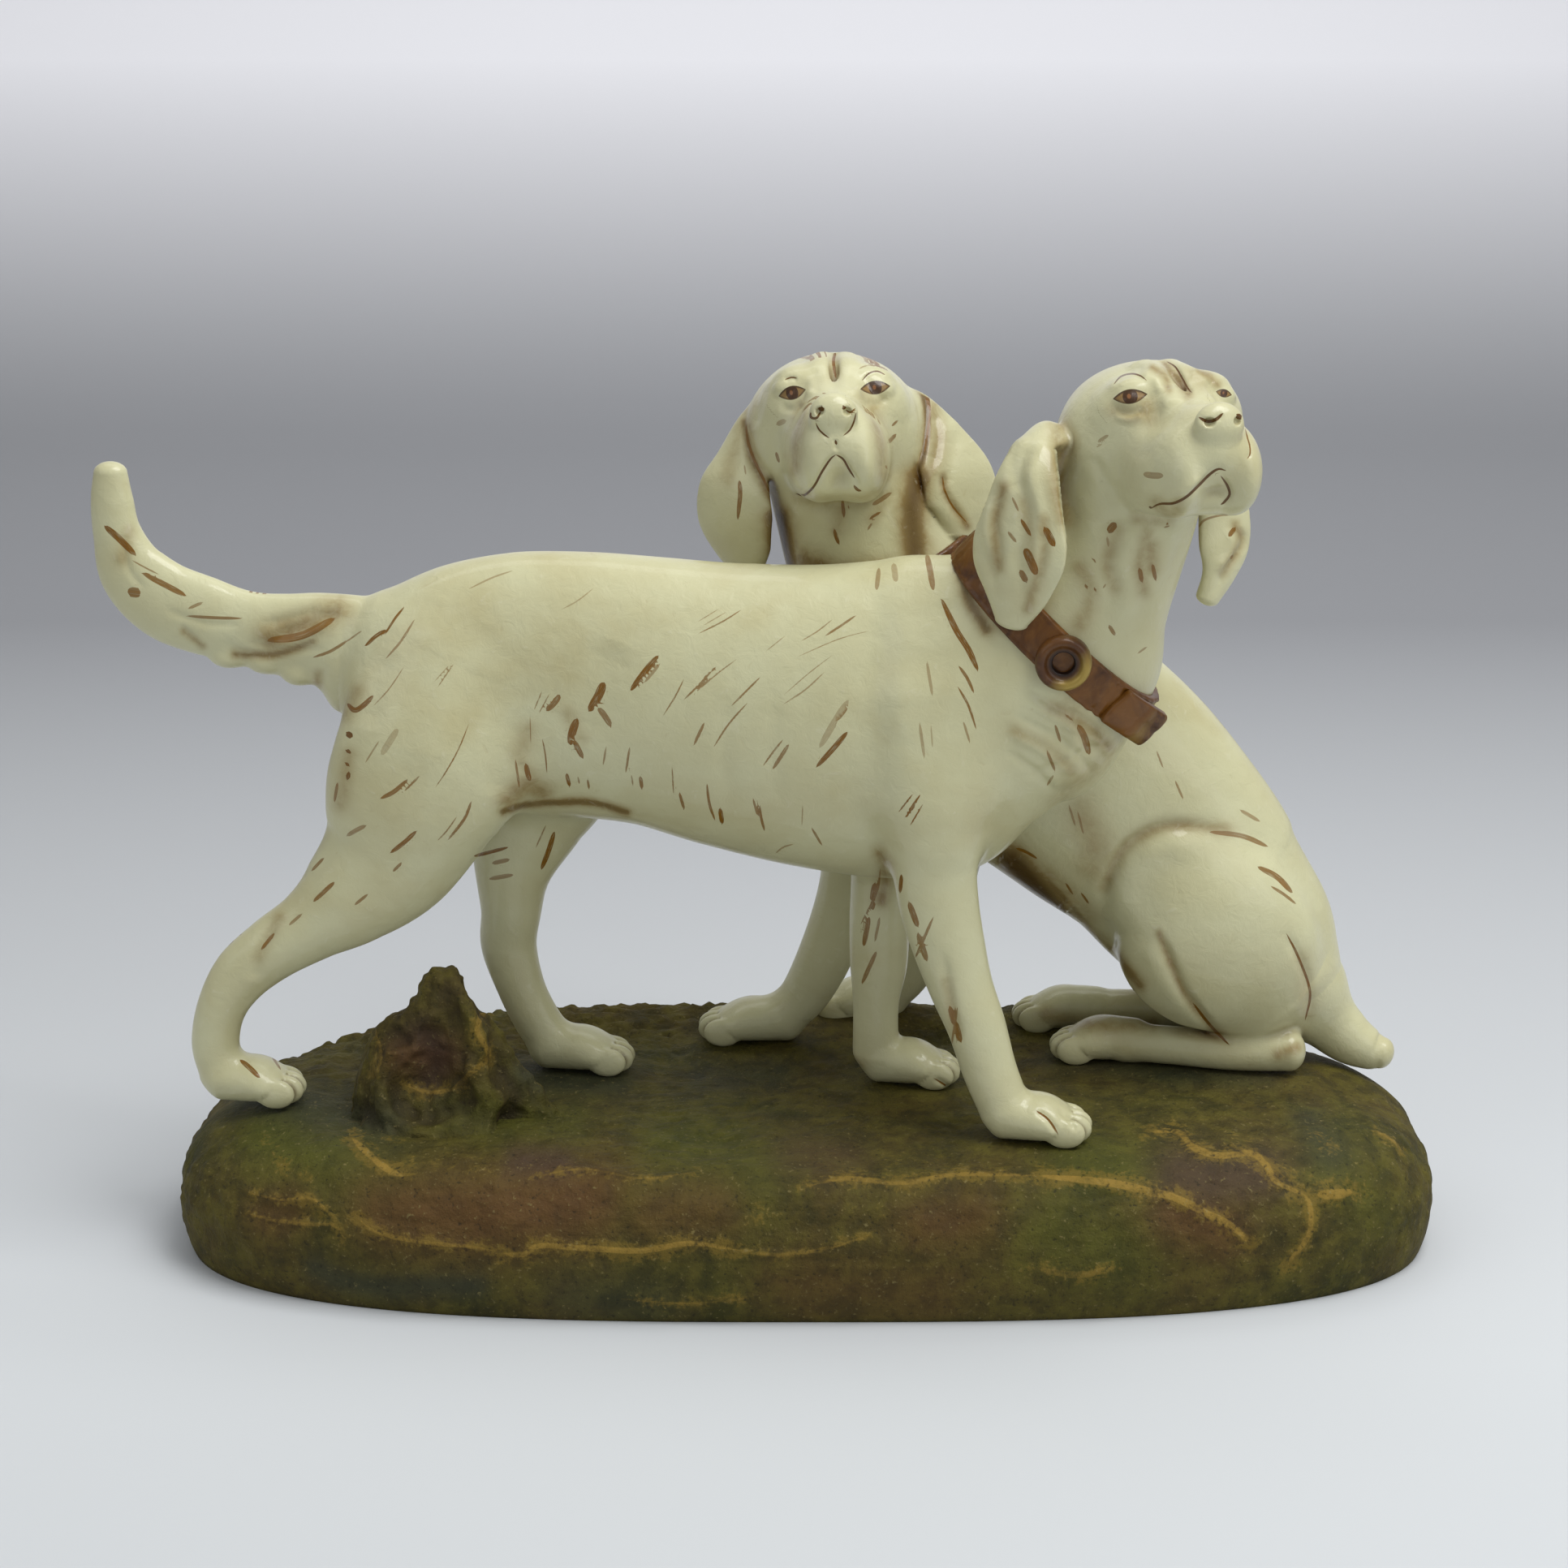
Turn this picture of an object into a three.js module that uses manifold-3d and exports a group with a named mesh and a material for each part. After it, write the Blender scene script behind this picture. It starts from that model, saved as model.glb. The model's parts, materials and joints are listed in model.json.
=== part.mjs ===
// A porcelain group of two hounds on a painted ground base.
// One hound stands in front and faces right, and one sits behind it and faces left.
// It is built as the pottery builds it: slip-cast pieces, luted edge to edge with liquid clay.
// Millimetres, Z up. The finished group stands with the middle of its footprint at the origin.

import * as THREE from 'three';
import { mergeVertices } from 'three/addons/utils/BufferGeometryUtils.js';
import Module from 'manifold-3d';

// Base: an oval mound, cast hollow and open underneath.
const BASE_LENGTH = 384;
const BASE_DEPTH = 153;
const BASE_HEIGHT = 44;
const BULGE_HEIGHT = 18;
const BASE_WALL = 6;
const FOOT_INSET = 4;
const SHOULDER_WIDTH = 19;
const BACK_RIDGE = 4.5;
const PLAN_POWER = 2.9;

// The seam between two luted pieces.
const SEAM = 0.3;

// Tree stump between the standing hound's hind legs.
const STUMP_X = -110;
const STUMP_Y = -16;
const STUMP_HEIGHT = 47;
const STUMP_FOOT_RADIUS = 28;
const STUMP_TOP_RADIUS = 7;
const STUMP_FLATNESS = 0.62;
const STUMP_LOBES = 5;
const STUMP_LEAN = 3;
const STUMP_ROOT = 12;
const KNUCKLE_HEIGHT = 26;
const KNUCKLE_RADIUS = 8;
const STUMP_HOLLOW_WIDTH = 22;
const STUMP_HOLLOW_HEIGHT = 26;
const STUMP_HOLLOW_DEPTH = 9;

// Where each hound stands on the base, and how far the front one is turned.
const STANDING_X = -45;
const STANDING_Y = -4;
const STANDING_YAW = THREE.MathUtils.degToRad(-6.3);
const SEATED_X = 100;
const SEATED_Y = 29;

// Both hounds are modelled to one scale, measured on the standing one.
const TRUNK_LENGTH = 208;
const BACK_HEIGHT = 166;
const CHEST_WIDTH = 56;
const NECK_WIDTH = 43;
const SHANK_THICKNESS = 14;
const TAIL_THICKNESS = 12;
const HAUNCH_THICKNESS = 26;

// Paws of both hounds.
const PAW_WIDTH = 19;
const PAW_HEIGHT = 13;
const TOE_COUNT = 4;
const TOE_LENGTH = 12;
const TOE_HEIGHT = 9;

// Heads: one modelled head serves both hounds.
const HEAD_LENGTH = 79;
const SKULL_WIDTH = 49;
const SKULL_HEIGHT = 41;
const CHEEK_WIDTH = 52;
const MUZZLE_WIDTH = 26;
const EYE_SPACING = 26;
const EYE_WIDTH = 9;
const NOSE_WIDTH = 14;
const NOSTRIL_WIDTH = 3;
const NOSTRIL_SPACING = 8.2;
const MOUTH_LINE_WIDTH = 1.2;
const EAR_WIDTH = 29;
const EAR_THICKNESS = 5.5;
const STANDING_HEAD_YAW = THREE.MathUtils.degToRad(-68.5);
const STANDING_HEAD_PITCH = THREE.MathUtils.degToRad(8.5);
const SEATED_HEAD_YAW = THREE.MathUtils.degToRad(-91);
const SEATED_HEAD_PITCH = THREE.MathUtils.degToRad(8.5);

// Collars: a leather band, with a round eyelet and a folded strap end on the front hound.
const COLLAR_WIDTH = 13;
const COLLAR_THICKNESS = 2.4;
const COLLAR_BEVEL = 0.35;
const STANDING_COLLAR_STATION = 2;
const STANDING_COLLAR_LEAN = THREE.MathUtils.degToRad(10);
const SEATED_COLLAR_STATION = 2.3;
const EYELET_RADIUS = 8;
const EYELET_BORE = 3.2;
const EYELET_HEIGHT = 4;
const EYELET_FOOT = 0.5;
const EYELET_TURN = THREE.MathUtils.degToRad(7);
const STRAP_END_WIDTH = 12.2;
const STRAP_END_THICKNESS = 4.5;
const STRAP_END_STAND_OFF = 5;

// The tables of stations below hold the modeller's measures, taken from a model whose trunk is 208 long,
// whose back is 166 high and whose chest is 56 wide. These shares fit them to the named sizes.
const LONG = TRUNK_LENGTH / 208;
const HIGH = BACK_HEIGHT / 166;
const WIDE = CHEST_WIDTH / 56;
const NECK = NECK_WIDTH / 43;
const LIMB = SHANK_THICKNESS / 14;
const TAIL = TAIL_THICKNESS / 12;
const HAUNCH = HAUNCH_THICKNESS / 26;
const PAW = PAW_WIDTH / 19;
const EAR = EAR_WIDTH / 29;

const porcelain = new THREE.MeshStandardMaterial({ color: 0xe6dfc6, roughness: 0.34, metalness: 0 });
const leather = new THREE.MeshStandardMaterial({ color: 0x6b3413, roughness: 0.45, metalness: 0 });
const gilt = new THREE.MeshStandardMaterial({ color: 0xa07a2c, roughness: 0.35, metalness: 0.6 });
const paintedGround = new THREE.MeshStandardMaterial({ color: 0x4a4a22, roughness: 0.75, metalness: 0 });

const SIDEWAYS = new THREE.Vector3(0, 1, 0);

const wasm = await Module();
wasm.setup();

// A closed geometry as a solid that can be joined and cut.
function solidOf(geometry) {
  const bare = geometry.clone();
  bare.deleteAttribute('normal');
  bare.deleteAttribute('uv');
  const merged = mergeVertices(bare, 1e-4);
  const triVerts = new Uint32Array(merged.index.array);
  return new wasm.Manifold(new wasm.Mesh({
    numProp: 3,
    vertProperties: new Float32Array(merged.attributes.position.array),
    triVerts,
  }));
}

// A solid as a geometry for a mesh.
function geometryOf(solid) {
  const mesh = solid.getMesh();
  const geometry = new THREE.BufferGeometry();
  geometry.setAttribute('position', new THREE.BufferAttribute(mesh.vertProperties, 3));
  geometry.setIndex(new THREE.BufferAttribute(mesh.triVerts, 1));
  geometry.computeVertexNormals();
  return geometry;
}

function joined(...solids) {
  return solids.reduce((whole, piece) => whole.add(piece));
}

// Cuts every neighbour out of a piece and keeps the piece's main body.
function cutBy(solid, ...neighbours) {
  const cut = neighbours.reduce((rest, neighbour) => rest.subtract(neighbour), solid);
  return cut.decompose().reduce((main, body) => (body.volume() > main.volume() ? body : main));
}

// Rings of points joined into a closed skin, with a point to close each end.
function skinOf(rings, startPoint, endPoint) {
  const sides = rings[0].length;
  const positions = [];
  const index = [];
  for (const ring of rings) {
    for (const point of ring) {
      positions.push(point.x, point.y, point.z);
    }
  }
  positions.push(startPoint.x, startPoint.y, startPoint.z);
  positions.push(endPoint.x, endPoint.y, endPoint.z);
  const start = rings.length * sides;
  const end = start + 1;
  const last = (rings.length - 1) * sides;
  for (let k = 0; k < sides; k += 1) {
    const next = (k + 1) % sides;
    for (let r = 0; r < rings.length - 1; r += 1) {
      const a = r * sides + k;
      const b = r * sides + next;
      index.push(a, b, a + sides, b, b + sides, a + sides);
    }
    index.push(start, next, k);
    index.push(end, last + k, last + next);
  }
  const geometry = new THREE.BufferGeometry();
  geometry.setAttribute('position', new THREE.Float32BufferAttribute(positions, 3));
  geometry.setIndex(index);
  return geometry;
}

// A body drawn through oval sections. A station is [x, y, z, half width, half depth]:
// the half width lies along `across`, and the half depth square to it and to the path.
// `round` is how far each end bulges, as a share of its smaller half size, and 0 leaves it flat.
// `grow` swells the whole body, to make a cutter that leaves a seam.
function loft(stations, options = {}) {
  const across = options.across ?? SIDEWAYS;
  const sides = options.sides ?? 14;
  const steps = options.steps ?? 2;
  const round = options.round ?? 0.8;
  const capRings = options.capRings ?? 3;
  const grow = options.grow ?? 0;
  const path = new THREE.CatmullRomCurve3(
    stations.map(([x, y, z]) => new THREE.Vector3(x, y, z)), false, 'catmullrom', 0.5);
  const sizes = new THREE.CatmullRomCurve3(
    stations.map((s) => new THREE.Vector3(s[3], s[4], 0)), false, 'catmullrom', 0.5);
  const count = (stations.length - 1) * steps;
  const ringAt = (centre, tangent, width, depth) => {
    const wide = across.clone().addScaledVector(tangent, -across.dot(tangent)).normalize();
    const deep = new THREE.Vector3().crossVectors(tangent, wide);
    return Array.from({ length: sides }, (_, k) => {
      const angle = (2 * Math.PI * k) / sides;
      return centre.clone()
        .addScaledVector(wide, width * Math.cos(angle))
        .addScaledVector(deep, depth * Math.sin(angle));
    });
  };
  const rings = [];
  const capEnd = (t, direction) => {
    const centre = path.getPoint(t);
    const tangent = path.getTangent(t);
    const size = sizes.getPoint(t);
    const length = Math.min(size.x, size.y) * round + grow;
    const cap = [];
    for (let j = 1; j < capRings; j += 1) {
      const angle = (j / capRings) * (Math.PI / 2);
      const at = centre.clone().addScaledVector(tangent, direction * length * Math.sin(angle));
      const shrink = Math.cos(angle);
      cap.push(ringAt(at, tangent, (size.x + grow) * shrink, (size.y + grow) * shrink));
    }
    return { cap, pole: centre.addScaledVector(tangent, direction * length) };
  };
  const start = capEnd(0, -1);
  const end = capEnd(1, 1);
  if (round > 0) {
    rings.push(...start.cap.reverse());
  }
  for (let i = 0; i <= count; i += 1) {
    const t = i / count;
    const size = sizes.getPoint(t);
    rings.push(ringAt(path.getPoint(t), path.getTangent(t), size.x + grow, size.y + grow));
  }
  if (round > 0) {
    rings.push(...end.cap);
  }
  return skinOf(rings, start.pole, end.pole);
}

// A round knob: an egg of three half sizes at a point.
function knob([x, y, z], [a, b, c], detail = 12) {
  const geometry = new THREE.SphereGeometry(1, detail, Math.round(detail * 0.6));
  geometry.scale(a, b, c);
  geometry.translate(x, y, z);
  return geometry;
}

const group = new THREE.Group();

// Adds one luted piece. The solid is in the base's frame, and its mesh keeps it in its holder's frame
// around its own pivot point, which is a station, an array of three numbers or a vector.
function addPiece(name, holder, solid, material, pivot) {
  const geometry = geometryOf(solid);
  geometry.applyMatrix4(holder.matrixWorld.clone().invert());
  const at = Array.isArray(pivot) ? new THREE.Vector3(...pivot.slice(0, 3)) : pivot;
  geometry.translate(-at.x, -at.y, -at.z);
  const mesh = new THREE.Mesh(geometry, material);
  mesh.name = name;
  mesh.position.copy(at);
  holder.add(mesh);
}

// A geometry given in a holder's frame, as a solid in the base's frame, and the same for a loft.
function solidIn(holder, geometry) {
  return solidOf(geometry.applyMatrix4(holder.matrixWorld));
}

function part(holder, stations, options = {}) {
  return solidIn(holder, loft(stations, options));
}

// The base's height: flat under the paws, with a low ridge at the back, rolled off to the bulge at the rim.
// `share` is how far out a point lies, from 0 in the middle to 1 at the rim.
// `inset` draws the whole mound in by that much, for the hollow underneath.
const FLAT_SHARE = 1 - SHOULDER_WIDTH / (BASE_DEPTH / 2);
function moundHeight(share, y, inset = 0) {
  const top = BASE_HEIGHT - inset - BULGE_HEIGHT;
  const roll = Math.max(0, (share - FLAT_SHARE) / (1 - FLAT_SHARE));
  const ridge = BACK_RIDGE * THREE.MathUtils.smoothstep(y, BASE_DEPTH * 0.25, BASE_DEPTH * 0.42);
  return BULGE_HEIGHT + top * Math.sqrt(1 - Math.min(1, roll) ** 2.4) + ridge * Math.sqrt(1 - roll ** 6);
}

// One ring of the oval plan, drawn in by `inset` and shrunk to `share` of its size.
function planRing(share, inset, sides, heightOf) {
  return Array.from({ length: sides }, (_, k) => {
    const angle = (2 * Math.PI * k) / sides;
    const bend = (value) => Math.sign(value) * Math.abs(value) ** (2 / PLAN_POWER);
    const x = bend(Math.cos(angle)) * (BASE_LENGTH / 2 - inset) * share;
    const y = bend(Math.sin(angle)) * (BASE_DEPTH / 2 - inset) * share;
    return new THREE.Vector3(x, y, heightOf(x, y));
  });
}

// The mound as a solid. `below` carries its foot down past the ground, for a cutter.
function moundSolid({ inset, below, sides, shares }) {
  const skirt = [0, 0.5].map((rise) => {
    const draw = FOOT_INSET * (1 - Math.sin(rise * Math.PI / 2)) ** 1.2;
    return planRing(1, inset + draw, sides, () => BULGE_HEIGHT * rise);
  });
  if (below > 0) {
    skirt.unshift(planRing(1, inset + FOOT_INSET, sides, () => -below));
  }
  const crown = shares.map((share) => planRing(share, inset, sides, (x, y) => moundHeight(share, y, inset)));
  const centreTop = new THREE.Vector3(0, 0, moundHeight(0, 0, inset));
  return solidOf(skinOf([...skirt, ...crown], new THREE.Vector3(0, 0, -below), centreTop));
}

const mound = moundSolid({ inset: 0, below: 0, sides: 40, shares: [1, 0.985, 0.94, 0.86, 0.74] });
const hollow = moundSolid({ inset: BASE_WALL, below: BASE_WALL, sides: 24, shares: [1, 0.94, 0.8] });
addPiece('ground_base', group, mound.subtract(hollow), paintedGround, [0, 0, 0]);

// The cutter that beds paws and stump on the mound: the mound lifted by one seam.
const bed = solidOf(geometryOf(mound).translate(0, 0, SEAM));

// Stump: a knotted cone with a knuckle at its left, hollowed on the side that faces the front.
function stumpSolid() {
  const sides = 16;
  const rings = [-STUMP_ROOT / STUMP_HEIGHT, 0, 0.2, 0.42, 0.62, 0.8, 0.93].map((rise) => {
    const above = Math.max(0, rise);
    const spread = STUMP_TOP_RADIUS + (STUMP_FOOT_RADIUS - STUMP_TOP_RADIUS) * (1 - above) ** 0.65;
    return Array.from({ length: sides }, (_, k) => {
      const angle = (2 * Math.PI * k) / sides;
      const knot = 1 + 0.1 * Math.sin(STUMP_LOBES * angle + 3 * rise) + 0.05 * Math.sin(3 * angle + 1);
      return new THREE.Vector3(
        STUMP_X + STUMP_LEAN * above + spread * knot * Math.cos(angle),
        STUMP_Y + STUMP_FLATNESS * spread * knot * Math.sin(angle),
        BASE_HEIGHT + STUMP_HEIGHT * rise);
    });
  });
  const top = new THREE.Vector3(STUMP_X + STUMP_LEAN, STUMP_Y, BASE_HEIGHT + STUMP_HEIGHT);
  const foot = new THREE.Vector3(STUMP_X, STUMP_Y, BASE_HEIGHT - STUMP_ROOT);
  const cone = solidOf(skinOf(rings, foot, top));
  const knuckleX = STUMP_X - STUMP_FOOT_RADIUS * 0.7;
  const knuckle = solidOf(loft([
    [knuckleX - KNUCKLE_RADIUS * 0.25, STUMP_Y, BASE_HEIGHT - STUMP_ROOT * 0.3,
      KNUCKLE_RADIUS, KNUCKLE_RADIUS],
    [knuckleX + KNUCKLE_RADIUS * 0.25, STUMP_Y, BASE_HEIGHT + KNUCKLE_HEIGHT,
      KNUCKLE_RADIUS * 0.75, KNUCKLE_RADIUS * 0.8],
  ], { sides: 10, capRings: 2 }));
  return joined(cone, knuckle);
}

const stumpFace = STUMP_Y - STUMP_FLATNESS * STUMP_FOOT_RADIUS * 0.72;
const stumpHollow = solidOf(knob(
  [STUMP_X, stumpFace, BASE_HEIGHT + STUMP_HEIGHT * 0.3],
  [STUMP_HOLLOW_WIDTH / 2, STUMP_HOLLOW_DEPTH, STUMP_HOLLOW_HEIGHT / 2], 10));
addPiece('tree_stump', group, cutBy(stumpSolid().subtract(stumpHollow), bed),
  paintedGround, [STUMP_X, STUMP_Y, BASE_HEIGHT]);

// Frames of the two hounds, each at the middle of its hound's ground.
const standing = new THREE.Group();
standing.position.set(STANDING_X, STANDING_Y, BASE_HEIGHT);
standing.rotation.z = STANDING_YAW;
group.add(standing);
const seated = new THREE.Group();
seated.position.set(SEATED_X, SEATED_Y, BASE_HEIGHT);
group.add(seated);
group.updateMatrixWorld(true);

// Fits a table of stations to the named sizes: `wide` and `deep` are the shares for the two half sizes.
function fitted(stations, wide, deep = wide) {
  return stations.map(([x, y, z, width, depth]) => (
    [x * LONG, y * WIDE, z * HIGH, width * wide, depth * deep]));
}

// Standing hound's trunk.
const standingTrunk = fitted([
  [-88, 0, 126.5, 13, 20.5],
  [-80, 0, 124.5, 20, 30.5],
  [-64, 0, 123, 21.5, 39],
  [-44, 0, 127.5, 21.5, 39.5],
  [-22, 0, 129, 23, 39],
  [0, 0, 126, 25.5, 40],
  [23, 0, 121.5, 27, 43.5],
  [46, 0, 119, 28, 46],
  [66, 0, 119, 28, 48],
  [85, 0, 122.5, 27, 48.5],
  [104, 0, 124.5, 24, 38.5],
  [120, 0, 122.5, 19, 22.5],
], WIDE, HIGH);
function standingBody(grow = 0) {
  return part(standing, standingTrunk, { sides: 20, steps: 1, capRings: 2, grow });
}

const standingNeckPath = fitted([
  [91, 0, 114, 21, 29],
  [104, 0, 131, 26.5, 35],
  [117, 0, 149, 25, 34],
  [124.5, 0, 162.5, 22.5, 27],
  [131, -0.5, 176, 21, 23.5],
  [136, -1.5, 190, 20.5, 22],
  [141, -2.5, 202, 19, 20],
], NECK);
function standingNeck(grow = 0) {
  return part(standing, standingNeckPath, { sides: 14, steps: 1, capRings: 2, grow });
}

// A leg: the limb, then the paw it ends in as [heel, aside, toes, half width].
// Minus is the near side of the standing hound.
function legOf(limb, [heel, aside, tips, half]) {
  return { limb: fitted(limb, LIMB), paw: [heel * LONG, aside * WIDE, tips * LONG, half * PAW] };
}
const nearHind = legOf([
  [-52, -9, 134, 11, 25],
  [-60, -14, 116, 15, 29],
  [-69, -16, 98, 15, 27],
  [-78, -15.5, 78, 12.5, 21],
  [-90.5, -17, 64.5, 10.5, 15.5],
  [-101.5, -18, 56, 8.8, 11.2],
  [-113, -19, 48.5, 8, 9.6],
  [-123, -19.5, 40, 7.3, 8.7],
  [-129.5, -20, 29.5, 6.8, 7.4],
  [-132, -20, 18, 6.6, 7.2],
  [-130, -20, 9, 6.8, 7.4],
], [-130, -20, -112, 9.6]);
const farHind = legOf([
  [-38, 10, 122, 12, 28],
  [-38, 13.5, 100, 14, 26],
  [-43, 15, 80, 12, 18.5],
  [-46.5, 15, 64, 9, 12],
  [-47.5, 15.5, 51, 7.8, 9.3],
  [-48.5, 16, 39.5, 7, 8.6],
  [-45, 16, 26, 6.6, 7.4],
  [-40.5, 16, 16, 6.6, 7.2],
  [-36, 16, 9, 6.8, 7.2],
], [-37, 16, -17, 9]);
const nearFore = legOf([
  [80, -17, 131, 11, 19],
  [83, -20, 108, 13.5, 19],
  [84, -20.5, 93, 12.5, 14.5],
  [84.5, -20.5, 81, 10.3, 12.3],
  [86, -21, 70, 9.4, 11.6],
  [89, -21.5, 58, 8.6, 10.6],
  [92.7, -22, 46, 8, 9.4],
  [97.5, -23, 34, 7.5, 8.6],
  [101.5, -23.5, 21, 7.3, 8],
  [106, -24, 10, 7.6, 7.6],
], [106, -24, 125, 10]);
const farFore = legOf([
  [72, 14, 120, 12, 20],
  [69, 16, 98, 12.5, 15.5],
  [67.3, 14.5, 84, 9.8, 11.5],
  [66.8, 15, 68, 9, 9.8],
  [65.8, 15.5, 52, 8.2, 9.2],
  [65.5, 16, 38, 7.5, 8.7],
  [64.8, 16, 25, 6.8, 7],
  [64.8, 16, 10, 7, 7],
], [66, 16, 84, 9]);

// A paw on the ground, from heel to the arch of the toes.
function pawStations([heel, y, tips, half]) {
  const length = tips - heel;
  const height = PAW_HEIGHT / 2;
  return [
    [heel, y, height, half * 0.72, height],
    [heel + length * 0.5, y, height * 1.09, half * 0.94, height * 1.06],
    [heel + length * 0.8, y, height * 0.91, half * 0.95, height * 0.88],
    [heel + length * 0.9, y, height * 0.72, half * 0.76, height * 0.69],
  ];
}

// The toes stand in a bow along the front of the paw.
function toes(holder, [heel, y, tips, half], grow) {
  const forward = Math.sign(tips - heel);
  return Array.from({ length: TOE_COUNT }, (_, k) => {
    const aside = (2 * k + 1) / TOE_COUNT - 1;
    const along = tips + forward * (TOE_LENGTH * 0.1 - TOE_LENGTH * 0.3 * aside ** 2);
    const sizes = [TOE_LENGTH / 2, (0.94 * half) / TOE_COUNT, TOE_HEIGHT / 2].map((size) => size + grow);
    return solidIn(holder, knob([along, y + half * 0.82 * aside, TOE_HEIGHT * 0.48], sizes, 6));
  });
}

function leg(holder, { limb, paw }, grow = 0) {
  const shaft = part(holder, limb, { sides: 10, steps: 1, capRings: 2, grow });
  const foot = part(holder, pawStations(paw), { sides: 8, steps: 1, capRings: 2, grow });
  return joined(shaft, foot, ...toes(holder, paw, grow));
}

const bodyCut = standingBody(SEAM);
const neckCut = standingNeck(SEAM);
const farForeCut = leg(standing, farFore, SEAM);
addPiece('standing_body', standing, standingBody(), porcelain, [0, 0, BACK_HEIGHT / 2]);
addPiece('standing_near_hind_leg', standing, cutBy(leg(standing, nearHind), bodyCut, bed),
  porcelain, nearHind.limb[1]);
addPiece('standing_far_hind_leg', standing, cutBy(leg(standing, farHind), bodyCut, bed),
  porcelain, farHind.limb[1]);
addPiece('standing_near_foreleg', standing, cutBy(leg(standing, nearFore), bodyCut, neckCut, bed),
  porcelain, nearFore.limb[1]);
addPiece('standing_far_foreleg', standing, cutBy(leg(standing, farFore), bodyCut, neckCut, bed),
  porcelain, farFore.limb[1]);

// Tail: carried level and curled up at the tip, flat from side to side, deepest where its fringe hangs.
const tailPath = fitted([
  [-78, 0, 145, 8.8, 11.5],
  [-98, 0, 140.5, 8.2, 13],
  [-110.5, 0, 140, 7.3, 12.5],
  [-122.5, 0, 142.5, 6.7, 11],
  [-134.6, 0, 145.5, 6.7, 12],
  [-146.5, 0, 150, 6.4, 12],
  [-155.5, 0, 158.5, 6, 10.5],
  [-160, 0, 170, 5.4, 7.5],
  [-161, 0, 180, 4.9, 6.5],
  [-161, 0, 188, 4.2, 5.1],
], TAIL);
addPiece('standing_tail', standing, cutBy(part(standing, tailPath, { sides: 12, steps: 1 }), bodyCut),
  porcelain, tailPath[0]);

// A head in its own frame: nose along +X, the hound's left along +Y, and the middle of the skull at 0.
// Its tables are for a head 79 long, 49 wide over the skull and 41 high.
const ALONG_HEAD = HEAD_LENGTH / 79;
const ACROSS_HEAD = SKULL_WIDTH / 49;
const UP_HEAD = SKULL_HEIGHT / 41;
const ACROSS_MUZZLE = MUZZLE_WIDTH / 26;
const ACROSS_CHEEKS = CHEEK_WIDTH / 52;
const ACROSS_EYES = EYE_SPACING / 26;
function inHead([x, y, z], across = ACROSS_HEAD) {
  return [x * ALONG_HEAD, y * across, z * UP_HEAD];
}

// Lumps of clay for a head: where each lies, its three half sizes, and how widely it is smoothed over.
function headLumps() {
  const lump = (at, sizes, fillet, across) => {
    return { at: inHead(at, across), sizes: inHead(sizes, across), fillet };
  };
  const pair = (lumpOn) => [-1, 1].map(lumpOn);
  // The skull and the two cheeks, the long muzzle in two lumps, the lower jaw,
  // the flews that hang at either side of the mouth, the chin, the lids and the brows.
  return [
    lump([-5, 0, 0.5], [31, 24.5, 19.5], 1, ACROSS_HEAD),
    ...pair((side) => lump([-4, 14 * side, -6], [17, 12, 14], 6, ACROSS_CHEEKS)),
    lump([22, 0, -4], [22, 12, 13.5], 7, ACROSS_MUZZLE),
    lump([37, 0, -3.5], [12.5, 10, 11], 5, ACROSS_MUZZLE),
    lump([10, 0, -14], [18, 11.5, 8.5], 5, ACROSS_MUZZLE),
    ...pair((side) => lump([24, 10 * side, -12.5], [14, 6.3, 9], 5, ACROSS_MUZZLE)),
    ...pair((side) => lump([36, 8 * side, -12.5], [12.5, 6.8, 9], 3.5, ACROSS_MUZZLE)),
    lump([30, 0, -17], [12, 8, 5.2], 2.5, ACROSS_MUZZLE),
    ...pair((side) => lump([8.5, 11.5 * side, 5], [9.2, 9.5, 9.2], 3.5, ACROSS_EYES)),
    ...pair((side) => lump([13.5, 10.5 * side, 14], [6.2, 7.2, 3.8], 2, ACROSS_EYES)),
  ];
}

// How far a point lies outside an egg, and minus how far inside.
function outsideEgg(point, { at, sizes }) {
  const offsets = [point.x - at[0], point.y - at[1], point.z - at[2]];
  const level = Math.hypot(...offsets.map((offset, i) => offset / sizes[i]));
  const slope = Math.hypot(...offsets.map((offset, i) => offset / sizes[i] ** 2));
  return (level * (level - 1)) / Math.max(slope, 1e-6);
}

// The same for lumps pressed together, with a fillet where two of them meet.
function outsideClay(point, lumps) {
  return lumps.reduce((least, lump) => {
    const next = outsideEgg(point, lump);
    const overlap = Math.max(0, 1 - Math.abs(least - next) / lump.fillet);
    return Math.min(least, next) - (lump.fillet * overlap ** 2) / 4;
  }, Infinity);
}

// The skin of the pressed lumps: rings of points round the head, from its nose to its nape,
// each found by coming in along a ray from outside until the clay is met.
const HEAD_RINGS = 20;
const HEAD_SIDES = 24;
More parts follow.
